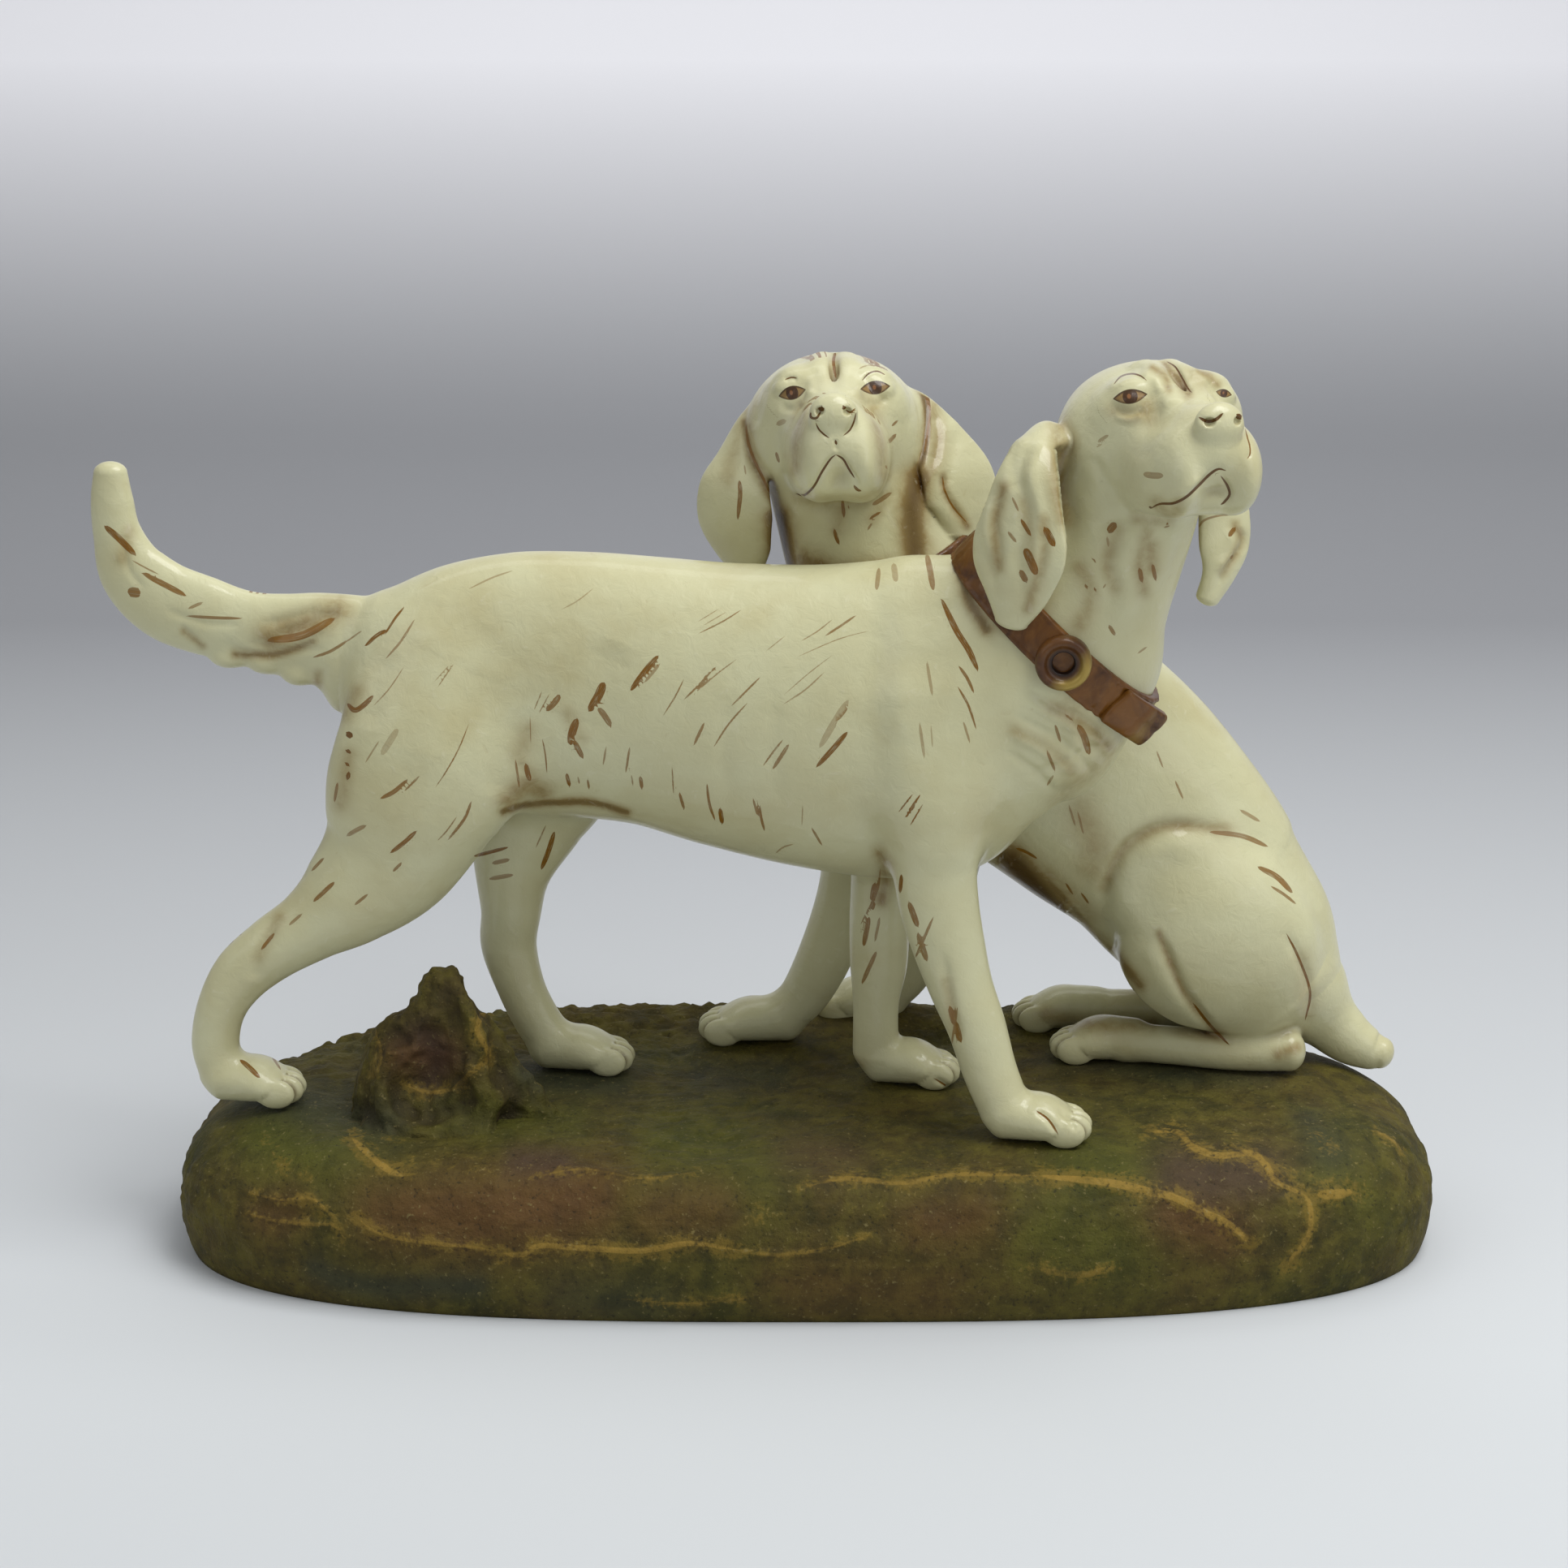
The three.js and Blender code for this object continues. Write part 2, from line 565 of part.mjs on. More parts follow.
// The middle that the rays leave from, and how much closer the rings stand at the nose.
const HEAD_HEART = [14, 0, -3];
const RING_CROWDING = 1.15;
function headSkin(grow) {
  const lumps = headLumps();
  const heart = new THREE.Vector3(...inHead(HEAD_HEART));
  const pointAt = (pitch, turn) => {
    const ray = new THREE.Vector3(
      Math.cos(pitch), Math.sin(pitch) * Math.cos(turn), -Math.sin(pitch) * Math.sin(turn));
    const along = (reach) => heart.clone().addScaledVector(ray, reach);
    let outside = HEAD_LENGTH;
    while (outsideClay(along(outside - 1), lumps) > grow) {
      outside -= 1;
    }
    let inside = outside - 1;
    for (let halving = 0; halving < 8; halving += 1) {
      const middle = (inside + outside) / 2;
      if (outsideClay(along(middle), lumps) > grow) {
        outside = middle;
      } else {
        inside = middle;
      }
    }
    return along(outside);
  };
  const rings = Array.from({ length: HEAD_RINGS - 1 }, (_, ring) => {
    const pitch = Math.PI * ((ring + 1) / HEAD_RINGS) ** RING_CROWDING;
    return Array.from({ length: HEAD_SIDES }, (__, side) => {
      return pointAt(pitch, (2 * Math.PI * side) / HEAD_SIDES);
    });
  });
  return skinOf(rings, pointAt(0, 0), pointAt(Math.PI, 0));
}

// The line between lip and jaw on one side, as a thin blade to cut it with.
function mouthBlade(holder, side) {
  const line = [
    [49.5, 0, -9],
    [49, 3.6, -11.6],
    [47.5, 6, -15.4],
    [45, 9, -19.4],
    [40, 12.5, -22],
  ].map(([x, y, z]) => [...inHead([x, y * side, z], ACROSS_MUZZLE), 2.5, MOUTH_LINE_WIDTH / 2]);
  const outward = new THREE.Vector3(0.7, 0.6 * side, -0.3);
  return part(holder, line, { across: outward, sides: 6, steps: 1, capRings: 1 });
}

function headSolid(holder, grow = 0) {
  const egg = (at, sizes, detail) => solidIn(holder, knob(at, sizes.map((size) => size + grow), detail));
  const nose = egg(inHead([46.5, 0, 3]), [4.5 * ALONG_HEAD, NOSE_WIDTH / 2, 6.2 * UP_HEAD], 10);
  const eyes = [-1, 1].map((side) => egg(inHead([16, 13 * side, 9], ACROSS_EYES),
    [EYE_WIDTH / 2, EYE_WIDTH / 2, EYE_WIDTH * 0.4], 8));
  const head = joined(solidIn(holder, headSkin(grow)), nose, ...eyes);
  if (grow > 0) {
    return head;
  }
  const [nostrilX, , nostrilZ] = inHead([50.4, 0, 4]);
  const nostrils = [-1, 1].map((side) => egg([nostrilX, side * NOSTRIL_SPACING / 2, nostrilZ],
    [NOSTRIL_WIDTH * 0.57, NOSTRIL_WIDTH / 2, NOSTRIL_WIDTH * 0.43], 6));
  return cutBy(head, mouthBlade(holder, -1), mouthBlade(holder, 1), ...nostrils);
}

// A holder for a head: turned by `yaw`, with its nose raised by `pitch`.
function headHolder(holder, [x, y, z], yaw, pitch) {
  const head = new THREE.Group();
  head.position.set(x * LONG, y * WIDE, z * HIGH);
  head.rotation.set(0, -pitch, yaw, 'ZYX');
  holder.add(head);
  head.updateMatrixWorld(true);
  return head;
}

const standingHead = headHolder(standing, [144, -2.5, 208.5], STANDING_HEAD_YAW, STANDING_HEAD_PITCH);
const seatedHead = headHolder(seated, [-92, 6.5, 200], SEATED_HEAD_YAW, SEATED_HEAD_PITCH);

// Seated hound's trunk leans back from the shoulders to the haunches.
const seatedTrunk = fitted([
  [49, 0, 20, 17, 19],
  [39, 0, 37, 21, 27],
  [24, 0, 52, 23, 34],
  [10, 0, 69, 24, 36.5],
  [-4.5, 0, 83, 26, 39.5],
  [-20.5, 0, 96.5, 26.5, 41],
  [-37, 0, 108, 26, 41.5],
  [-52, 0, 118, 24, 38],
], WIDE, HIGH);
const seatedNeckPath = fitted([
  [-52, 1, 112, 23, 36],
  [-64, 2, 128, 22.5, 31],
  [-73, 3, 143, 21.5, 29],
  [-80, 4, 157, 20.5, 26],
  [-85.5, 5, 172, 20, 24],
  [-89.5, 6, 186, 19.5, 22.5],
  [-91.5, 6.5, 198, 18, 19],
], NECK);
function seatedBody(grow = 0) {
  return part(seated, seatedTrunk, { sides: 18, steps: 1, capRings: 2, grow });
}
function seatedNeck(grow = 0) {
  return part(seated, seatedNeckPath, { sides: 14, steps: 1, capRings: 2, grow });
}
const standingHeadCut = headSolid(standingHead, SEAM);
const seatedHeadCut = headSolid(seatedHead, SEAM);
const seatedBodyCut = seatedBody(SEAM);
const seatedNeckCut = seatedNeck(SEAM);

// Where a band sits on a neck: the middle of its plane, its two half sizes and its three directions.
// `lean` is how far the band droops at the throat, from square to the neck.
function neckFrame(neckPath, station, lean = 0) {
  const curve = (points) => new THREE.CatmullRomCurve3(points, false, 'catmullrom', 0.5);
  const path = curve(neckPath.map(([x, y, z]) => new THREE.Vector3(x, y, z)));
  const sizes = curve(neckPath.map((stationOf) => new THREE.Vector3(stationOf[3], stationOf[4], 0)));
  const t = station / (neckPath.length - 1);
  const along = path.getTangent(t).applyAxisAngle(SIDEWAYS, lean);
  const size = sizes.getPoint(t);
  const wide = SIDEWAYS.clone().addScaledVector(along, -SIDEWAYS.dot(along)).normalize();
  const deep = new THREE.Vector3().crossVectors(along, wide);
  return { centre: path.getPoint(t), along, wide, deep, half: size.x, depth: size.y };
}

// A point on the band, `turn` round from the near side towards the throat, `off` outside the neck.
function bandPoint(frame, turn, off) {
  return frame.centre.clone()
    .addScaledVector(frame.wide, -Math.cos(turn) * (frame.half + off))
    .addScaledVector(frame.deep, -Math.sin(turn) * (frame.depth + off));
}

// The sleeve that a collar is cut from, a little narrower at its edges than in its middle.
function sleeve(holder, frame, grow = 0) {
  const reach = COLLAR_WIDTH / 2 + grow;
  const stations = [-reach, 0, reach].map((step) => {
    const at = frame.centre.clone().addScaledVector(frame.along, step);
    const thickness = COLLAR_THICKNESS + grow - (step === 0 ? 0 : COLLAR_BEVEL);
    return [at.x, at.y, at.z, frame.half + thickness, frame.depth + thickness];
  });
  return part(holder, stations, { sides: 20, round: 0, steps: 1 });
}

const standingBand = neckFrame(standingNeckPath, STANDING_COLLAR_STATION, STANDING_COLLAR_LEAN);
const seatedBand = neckFrame(seatedNeckPath, SEATED_COLLAR_STATION);
const standingSleeveCut = sleeve(standing, standingBand, SEAM);
const seatedSleeveCut = sleeve(seated, seatedBand, SEAM);

// Standing hound's neck, head and collar.
addPiece('standing_neck', standing, cutBy(standingNeck(), bodyCut, standingHeadCut),
  porcelain, standingNeckPath[2]);
addPiece('standing_head', standingHead, headSolid(standingHead), porcelain, [0, 0, 0]);
addPiece('standing_collar', standing, cutBy(sleeve(standing, standingBand), neckCut, bodyCut),
  leather, standingBand.centre);

// The round eyelet on the near side of the collar: a flat-bottomed ring with a rolled rim.
const eyeletHolder = new THREE.Group();
const eyeletNormal = new THREE.Vector3()
  .addScaledVector(standingBand.wide, -Math.cos(EYELET_TURN) / standingBand.half)
  .addScaledVector(standingBand.deep, -Math.sin(EYELET_TURN) / standingBand.depth)
  .normalize();
eyeletHolder.position.copy(bandPoint(standingBand, EYELET_TURN, COLLAR_THICKNESS - EYELET_FOOT));
eyeletHolder.quaternion.setFromUnitVectors(SIDEWAYS, eyeletNormal);
standing.add(eyeletHolder);
eyeletHolder.updateMatrixWorld(true);

function turned(profile, sides) {
  const points = profile.map(([radius, height]) => new THREE.Vector2(radius, height));
  return solidIn(eyeletHolder, new THREE.LatheGeometry(points, sides));
}
const eyelet = turned([
  [EYELET_BORE, -EYELET_FOOT],
  [EYELET_RADIUS, -EYELET_FOOT],
  [EYELET_RADIUS, EYELET_HEIGHT * 0.5],
  [EYELET_RADIUS * 0.86, EYELET_HEIGHT],
  [EYELET_RADIUS * 0.66, EYELET_HEIGHT],
  [EYELET_BORE, EYELET_HEIGHT * 0.45],
  [EYELET_BORE, -EYELET_FOOT],
], 16);
const eyeletCut = turned([
  [0, -EYELET_FOOT - SEAM],
  [EYELET_RADIUS + SEAM, -EYELET_FOOT - SEAM],
  [EYELET_RADIUS + SEAM, EYELET_HEIGHT + SEAM],
  [0, EYELET_HEIGHT + SEAM],
], 16);
addPiece('standing_collar_eyelet', eyeletHolder, cutBy(eyelet, standingSleeveCut), gilt, [0, 0, 0]);

// The folded end of the strap, which springs off the band at the throat.
const strapPath = [[42, 0.2], [52, 0.3], [62, 0.5], [72, 1]].map(([turn, lift]) => {
  const off = COLLAR_THICKNESS + STRAP_END_STAND_OFF * lift;
  const at = bandPoint(standingBand, THREE.MathUtils.degToRad(turn), off);
  return [at.x, at.y, at.z, STRAP_END_WIDTH / 2, STRAP_END_THICKNESS / 2];
});
const strapEnd = part(standing, strapPath, { sides: 10, steps: 1, across: standingBand.along, capRings: 2 });
addPiece('standing_strap_end', standing, cutBy(strapEnd, standingSleeveCut, neckCut, bodyCut),
  leather, strapPath[1]);

// An ear: a flat lobe that hangs from the skull, widest two thirds down.
// A station is [x, y, z, half width], and `across` is the way its width runs.
function ear(holder, stations, across) {
  const sections = fitted(stations, EAR).map(([x, y, z, half]) => [x, y, z, half, EAR_THICKNESS / 2]);
  return part(holder, sections, { sides: 8, across: new THREE.Vector3(...across), capRings: 2 });
}

const standingNearEar = [
  [121, -9, 212, 6],
  [116, -16, 211, 8],
  [111.5, -22, 206, 9],
  [109, -25.5, 197, 9.8],
  [108.3, -27, 189, 11.8],
  [107.6, -28, 181, 14],
  [106.8, -28, 173.5, 13.5],
  [106.4, -27.3, 165.5, 10],
  [105.4, -26, 157, 5],
];
const standingFarEar = [
  [158, 10, 212, 6],
  [161, 13.5, 203, 7],
  [162.5, 15, 190, 7.5],
  [164.3, 14.5, 180, 9],
  [164.6, 13, 171, 8.8],
  [163.4, 11.5, 163.5, 6],
  [160.4, 10, 156.5, 4],
];
const seatedNearEar = [
  [-110, 9, 207, 7],
  [-116.5, 8, 202, 8],
  [-120, 5, 190, 10],
  [-121.7, 2, 180, 13],
  [-121.5, 1, 170, 14],
  [-119, 1, 160.5, 10.5],
  [-117, 1, 154, 5],
];
const seatedFarEar = [
  [-74, 10, 210, 7],
  [-66, 9, 208, 8],
  [-59, 6.5, 197, 11],
  [-54.5, 3.5, 186, 14],
  [-53.5, 2, 176, 13],
  [-54, 0, 166, 6],
];
addPiece('standing_near_ear', standing,
  cutBy(ear(standing, standingNearEar, [0.93, -0.36, 0]),
    standingHeadCut, neckCut, standingSleeveCut, bodyCut, eyeletCut),
  porcelain, fitted(standingNearEar, EAR)[1]);
addPiece('standing_far_ear', standing,
  cutBy(ear(standing, standingFarEar, [0.8, 0.6, 0]), standingHeadCut, neckCut, standingSleeveCut),
  porcelain, fitted(standingFarEar, EAR)[1]);

// Seated hound's trunk, neck, head and collar, fitted behind the standing hound.
addPiece('seated_body', seated,
  cutBy(seatedBody(), bodyCut, neckCut, standingSleeveCut, farForeCut, bed),
  porcelain, seatedTrunk[3]);
addPiece('seated_neck', seated,
  cutBy(seatedNeck(), seatedBodyCut, seatedHeadCut, bodyCut, neckCut, farForeCut),
  porcelain, seatedNeckPath[3]);
addPiece('seated_head', seatedHead, headSolid(seatedHead), porcelain, [0, 0, 0]);
addPiece('seated_collar', seated,
  cutBy(sleeve(seated, seatedBand), seatedNeckCut, seatedBodyCut, bodyCut, neckCut),
  leather, seatedBand.centre);
addPiece('seated_near_ear', seated,
  cutBy(ear(seated, seatedNearEar, [0.8, -0.6, 0]), seatedHeadCut, seatedNeckCut, seatedSleeveCut, bodyCut),
  porcelain, fitted(seatedNearEar, EAR)[1]);
addPiece('seated_far_ear', seated,
  cutBy(ear(seated, seatedFarEar, [0.8, 0.6, 0]),
    seatedHeadCut, seatedNeckCut, seatedSleeveCut, bodyCut, neckCut),
  porcelain, fitted(seatedFarEar, EAR)[1]);

// Haunches: the folded thighs, one on each side of the trunk.
const haunchPath = (side) => fitted([
  [-3, side * 14, 64, 7, 10],
  [8, side * 17, 58, 11, 21],
  [20, side * 18, 47, 13, 28],
  [33, side * 17, 34, 12, 26],
  [43, side * 14, 22, 9, 17],
], HAUNCH, HIGH);
function haunch(side, grow = 0) {
  return part(seated, haunchPath(side), { sides: 16, steps: 1, grow });
}
const nearHaunchCut = haunch(-1, SEAM);
const farHaunchCut = haunch(1, SEAM);
addPiece('seated_near_haunch', seated, cutBy(haunch(-1), seatedBodyCut, bodyCut, bed),
  porcelain, haunchPath(-1)[2]);
addPiece('seated_far_haunch', seated, cutBy(haunch(1), seatedBodyCut, bed),
  porcelain, haunchPath(1)[2]);

// Hind feet laid flat on the ground, from the hock to the toes.
const seatedNearHind = legOf([
  [49, -17, 7, 6.5, 6.5],
  [32, -15, 6, 6, 6],
  [15, -11, 6.2, 6, 6],
  [0, -7, 6, 6.5, 5.8],
], [2, -6, -17, 8.4]);
const seatedFarHind = legOf([
  [42, 16, 7, 6.5, 6.5],
  [16, 17, 7, 6, 6.2],
  [5.5, 19, 7, 6, 6.2],
  [-10, 21, 6.5, 6.5, 6],
], [-8, 21, -27, 8.2]);
addPiece('seated_near_hind_foot', seated,
  cutBy(leg(seated, seatedNearHind), nearHaunchCut, seatedBodyCut, farForeCut, bed),
  porcelain, seatedNearHind.limb[0]);
addPiece('seated_far_hind_foot', seated,
  cutBy(leg(seated, seatedFarHind), farHaunchCut, seatedBodyCut, bed),
  porcelain, seatedFarHind.limb[0]);

// Forelegs braced forward to the left, behind the standing hound.
const seatedNearFore = legOf([
  [-70, -3, 108, 12, 17],
  [-79, -2, 90, 11, 13],
  [-83.5, 0, 76, 10, 10.8],
  [-86, 3, 57, 9, 9.6],
  [-89.4, 5, 43, 8.5, 9],
  [-95, 7, 27, 8, 8.5],
  [-101, 9, 15, 7.5, 7.6],
  [-107, 10, 9, 7.5, 7],
], [-106, 10.5, -127, 9.5]);
const seatedFarFore = legOf([
  [-52, 12, 98, 12, 16],
  [-54, 15, 78, 10.5, 12.5],
  [-55, 18, 60, 9.5, 10.5],
  [-57, 21, 45, 8.5, 9],
  [-61, 24, 28, 7.5, 7.8],
  [-67, 27, 16, 7, 7],
  [-73, 29, 9, 7, 7],
], [-73, 30, -91, 8.5]);
addPiece('seated_near_foreleg', seated,
  cutBy(leg(seated, seatedNearFore), seatedBodyCut, seatedNeckCut, bodyCut, farForeCut, bed),
  porcelain, seatedNearFore.limb[2]);
addPiece('seated_far_foreleg', seated,
  cutBy(leg(seated, seatedFarFore), seatedBodyCut, seatedNeckCut, bodyCut, farForeCut, bed),
  porcelain, seatedFarFore.limb[2]);

// The seated hound's tail lies on the ground behind it.
const seatedTail = fitted([
  [54, -1, 26, 10, 10],
  [61, -1, 15, 9, 9.5],
  [69, -2, 8, 7.5, 7.5],
  [76, -3, 5, 6.5, 5.5],
  [80, -4, 4, 5, 4],
], TAIL);
addPiece('seated_tail', seated,
  cutBy(part(seated, seatedTail, { sides: 10, steps: 1 }), seatedBodyCut, nearHaunchCut, farHaunchCut, bed),
  porcelain, seatedTail[1]);

// The finished group is shifted so that the middle of its footprint is the origin.
const bounds = new THREE.Box3().setFromObject(group, true);
group.position.set(-(bounds.min.x + bounds.max.x) / 2, -(bounds.min.y + bounds.max.y) / 2, 0);

export default group;
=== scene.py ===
# %% [markdown]
# # A porcelain group of two hounds on a painted ground
# The group was slip-cast in many moulds, and its pieces were luted together with liquid clay, so on the fired
# figure every seam is a soft fillet under the glaze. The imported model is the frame: each piece made here
# stands for a node of it and keeps to its place. Lengths are worked out in millimetres from the middle of the
# base's underside, because a modeller thinks in millimetres, and they become metres when a mesh is made.

# %% The frame
import json
import math
from concurrent.futures import ThreadPoolExecutor
import bpy
import numpy as np
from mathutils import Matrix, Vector

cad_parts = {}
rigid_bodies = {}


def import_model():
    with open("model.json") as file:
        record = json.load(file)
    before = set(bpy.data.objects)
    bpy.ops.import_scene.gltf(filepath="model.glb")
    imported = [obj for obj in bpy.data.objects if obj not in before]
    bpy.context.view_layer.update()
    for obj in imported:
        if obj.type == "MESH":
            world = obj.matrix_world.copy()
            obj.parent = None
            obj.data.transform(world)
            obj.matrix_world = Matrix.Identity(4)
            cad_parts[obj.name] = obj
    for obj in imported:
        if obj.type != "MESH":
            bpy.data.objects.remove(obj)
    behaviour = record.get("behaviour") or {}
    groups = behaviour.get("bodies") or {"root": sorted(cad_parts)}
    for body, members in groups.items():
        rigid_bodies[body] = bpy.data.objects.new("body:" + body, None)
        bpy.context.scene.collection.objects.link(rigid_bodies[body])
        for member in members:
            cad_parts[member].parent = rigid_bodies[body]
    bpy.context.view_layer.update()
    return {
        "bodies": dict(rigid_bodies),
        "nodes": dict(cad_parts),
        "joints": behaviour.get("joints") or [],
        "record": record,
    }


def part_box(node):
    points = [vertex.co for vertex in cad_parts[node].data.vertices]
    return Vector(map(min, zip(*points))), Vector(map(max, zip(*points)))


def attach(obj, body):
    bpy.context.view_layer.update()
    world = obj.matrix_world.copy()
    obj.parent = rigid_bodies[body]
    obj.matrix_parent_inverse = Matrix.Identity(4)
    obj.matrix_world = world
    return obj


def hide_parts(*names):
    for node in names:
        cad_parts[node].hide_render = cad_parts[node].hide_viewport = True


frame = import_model()
base_low, base_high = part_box("ground_base")
BASE_MIDDLE = np.array([(base_low.x + base_high.x) / 2, (base_low.y + base_high.y) / 2, 0.0]) * 1000
COARSE = 1.0
print("middle of the base, mm", BASE_MIDDLE.round(2))

# %% [markdown]
# ## Camera, floor and light
# The group was photographed from a little above, on a pale table before a pale wall, under soft light from
# above. The camera's place and lens were worked out from the outline of the base and the heights of the paws.

# %% Camera
EYE = np.array([-6.9, -956.3, 433.0])  # mm from the middle of the base
TILT = math.radians(17)  # below level
LENS, SENSOR = 77.14, 36  # mm

camera = bpy.data.objects.new("camera", bpy.data.cameras.new("camera"))
bpy.context.scene.collection.objects.link(camera)
bpy.context.scene.camera = camera
camera.data.sensor_width = SENSOR
camera.data.lens = LENS
camera.data.clip_end = 20
camera.location = (BASE_MIDDLE + EYE) / 1000
camera.rotation_euler = (math.pi / 2 - TILT, 0, 0)
print("camera", np.linalg.norm(EYE).round(), "mm from the middle of the base")

# %% [markdown]
# ## Tools for materials
# A finish is written as arithmetic on sockets. The small class below wraps a socket, so that an expression
# such as `1 - mask * 0.5` adds the Math nodes by itself, and colours are mixed by Mix nodes.

# %% Shader arithmetic
class Wire:
    """One output socket of a node tree. Arithmetic on values adds Math nodes."""

    def __init__(self, tree, socket):
        self.tree, self.socket = tree, socket

    def math(self, operation, *others, clamp=False):
        node = self.tree.nodes.new("ShaderNodeMath")
        node.operation, node.use_clamp = operation, clamp
        for slot, value in zip(node.inputs, (self,) + others):
            feed(self.tree, slot, value)
        return Wire(self.tree, node.outputs[0])

    def __add__(self, other):
        return self.math("ADD", other)

    def __mul__(self, other):
        return self.math("MULTIPLY", other)

    __radd__, __rmul__ = __add__, __mul__

    def __sub__(self, other):
        return self.math("SUBTRACT", other)

    def __rsub__(self, other):
        return (self * -1) + other

    def __truediv__(self, other):
        return self.math("DIVIDE", other)

    def __pow__(self, other):
        return self.math("POWER", other)

    def clamp(self):
        return self.math("ADD", 0.0, clamp=True)

    def least(self, other):
        return self.math("MINIMUM", other)

    def step(self, low, high):
        """0 below low and 1 above high, with a soft ramp between them."""
        return ((self - low) / (high - low)).clamp()


def feed(tree, socket, value):
    """Links a wire to the socket, or sets its constant. A colour of three numbers gets an alpha of 1."""
    if isinstance(value, Wire):
        tree.links.new(value.socket, socket)
    elif isinstance(value, (tuple, list)) and len(value) == 3 and socket.type == "RGBA":
        socket.default_value = (*value, 1)
    else:
        socket.default_value = value


class Finish:
    """A material being written: `node` adds any node, and `shade` feeds the sockets of the Principled BSDF."""

    def __init__(self, name, specular=None):
        self.material = bpy.data.materials.new(name)
        self.material.use_nodes = True
        self.tree = self.material.node_tree
        self.shader = self.tree.nodes["Principled BSDF"]
        if specular is not None:
            self.shader.inputs["Specular IOR Level"].default_value = specular
        self.place = self.node("ShaderNodeTexCoord", out="Object")

    def node(self, kind, settings=None, out=0, **values):
        made = self.tree.nodes.new(kind)
        for key, value in (settings or {}).items():
            setattr(made, key, value)
        for key, value in values.items():
            feed(self.tree, made.inputs[key.replace("_", " ")], value)
        return Wire(self.tree, made.outputs[out])

    def attribute(self, name):
        return self.node("ShaderNodeAttribute", {"attribute_name": name}, out="Fac")

    def noise(self, scale, detail=3.0, roughness=0.5, distortion=0.0, vector=None):
        return self.node("ShaderNodeTexNoise", Vector=vector or self.place, Scale=scale, Detail=detail,
                         Roughness=roughness, Distortion=distortion)

    def mix(self, share, first, second):
        made = self.tree.nodes.new("ShaderNodeMix")
        made.data_type = "RGBA"
        feed(self.tree, made.inputs[0], share)
        feed(self.tree, made.inputs[6], first)
        feed(self.tree, made.inputs[7], second)
        return Wire(self.tree, made.outputs[2])

    def bump(self, height, distance, strength=1.0):
        return self.node("ShaderNodeBump", Height=height, Distance=distance, Strength=strength)

    def shade(self, **values):
        for key, value in values.items():
            feed(self.tree, self.shader.inputs[key.replace("_", " ")], value)
        return self.material

# %% [markdown]
# The floor and the wall behind it are one plain pale sheet that curves up, so that no line shows where they
# meet. It is a strip with a straight floor, a quarter turn and a straight wall, drawn as a profile carried
# sideways. Its tone darkens towards the back as painted shade, and is lightest on the wall as painted light.

# %% Floor and wall
def strip_mesh(name, profile, half_width):
    """Each point of the profile (y, z) is carried from -half_width to half_width along x."""
    points = np.array([[x, y, z] for y, z in profile for x in (-half_width, half_width)])
    faces = [(2 * i, 2 * i + 1, 2 * i + 3, 2 * i + 2) for i in range(len(profile) - 1)]
    mesh = bpy.data.meshes.new(name)
    mesh.from_pydata(points.tolist(), [], faces)
    mesh.polygons.foreach_set("use_smooth", np.ones(len(faces), bool))
    made = bpy.data.objects.new(name, mesh)
    bpy.context.scene.collection.objects.link(made)
    return made


FRONT, BEND_START, BEND, WALL_TOP = -4.0, 1.2, 1.0, 4.0  # metres
PAPER_FRONT, PAPER_BACK_SHADE, PAPER_WALL_LIGHT = (0.60, 0.622, 0.635), (0.235, 0.24, 0.252), (0.80, 0.80, 0.83)

quarter = np.linspace(0, math.pi / 2, 24)
profile = [(BEND_START + BEND * math.sin(a), BEND * (1 - math.cos(a))) for a in quarter]
floor = strip_mesh("floor", [(FRONT, 0.0)] + profile + [(BEND_START + BEND, WALL_TOP)], 5.0)
paper = Finish("pale floor")
# painted light on the sheet: darker towards the back as painted shade, lighter on the wall as painted light
back = paper.node("ShaderNodeSeparateXYZ", out="Y", Vector=paper.place).step(-0.1, 0.75)
high = paper.node("ShaderNodeSeparateXYZ", out="Z", Vector=paper.place).step(0.0, 0.2)
paper.shade(Base_Color=paper.mix(high, paper.mix(back, PAPER_FRONT, PAPER_BACK_SHADE), PAPER_WALL_LIGHT), Roughness=0.9)
floor.data.materials.append(paper.material)

# %% [markdown]
# The light is that of a room with a large window: one broad source above, a weaker one from the right, a
# little from the left, one for the wall, and a dim sky all round.

# %% Light
def lamp(name, place, target, size, power):
    """A square area light at `place`, turned to `target`; metres and watts."""
    data = bpy.data.lights.new(name, "AREA")
    data.size, data.energy = size, power
    made = bpy.data.objects.new(name, data)
    made.location = place
    made.rotation_euler = (Vector(target) - Vector(place)).to_track_quat("-Z", "Y").to_euler()
    bpy.context.scene.collection.objects.link(made)


lamp("window above", (0.55, -0.25, 1.5), (0, 0, 0.1), 0.9, 18.5)
lamp("soft side", (1.4, -1.3, 0.9), (0, 0, 0.12), 1.2, 5.5)
lamp("wall light", (0, 0.7, 1.5), (0, 2.1, 0.35), 1.5, 12.5)
lamp("far side", (-1.4, -0.9, 1.1), (0, 0, 0.1), 1.2, 3.5)
world = bpy.data.worlds.new("room")
bpy.context.scene.world = world
world.use_nodes = True
sky = world.node_tree.nodes["Background"].inputs
sky["Color"].default_value = (0.95, 0.97, 1.0, 1)
sky["Strength"].default_value = 0.4
bpy.context.scene.view_settings.view_transform = "Standard"

# %% [markdown]
# ## Modelling in clay
# A hound isn't one grid of two parameters: legs, neck and ears grow out of the trunk with soft fillets. It is
# modelled as a potter builds up clay. Each lump is a distance: below nought inside the lump and above it
# outside. Lumps are pressed together by a smooth minimum, grooves are drawn with a smooth maximum, and the
# skin is found where the sum is nought. The distances are whole-array sums, so a million points take a second
# or two.

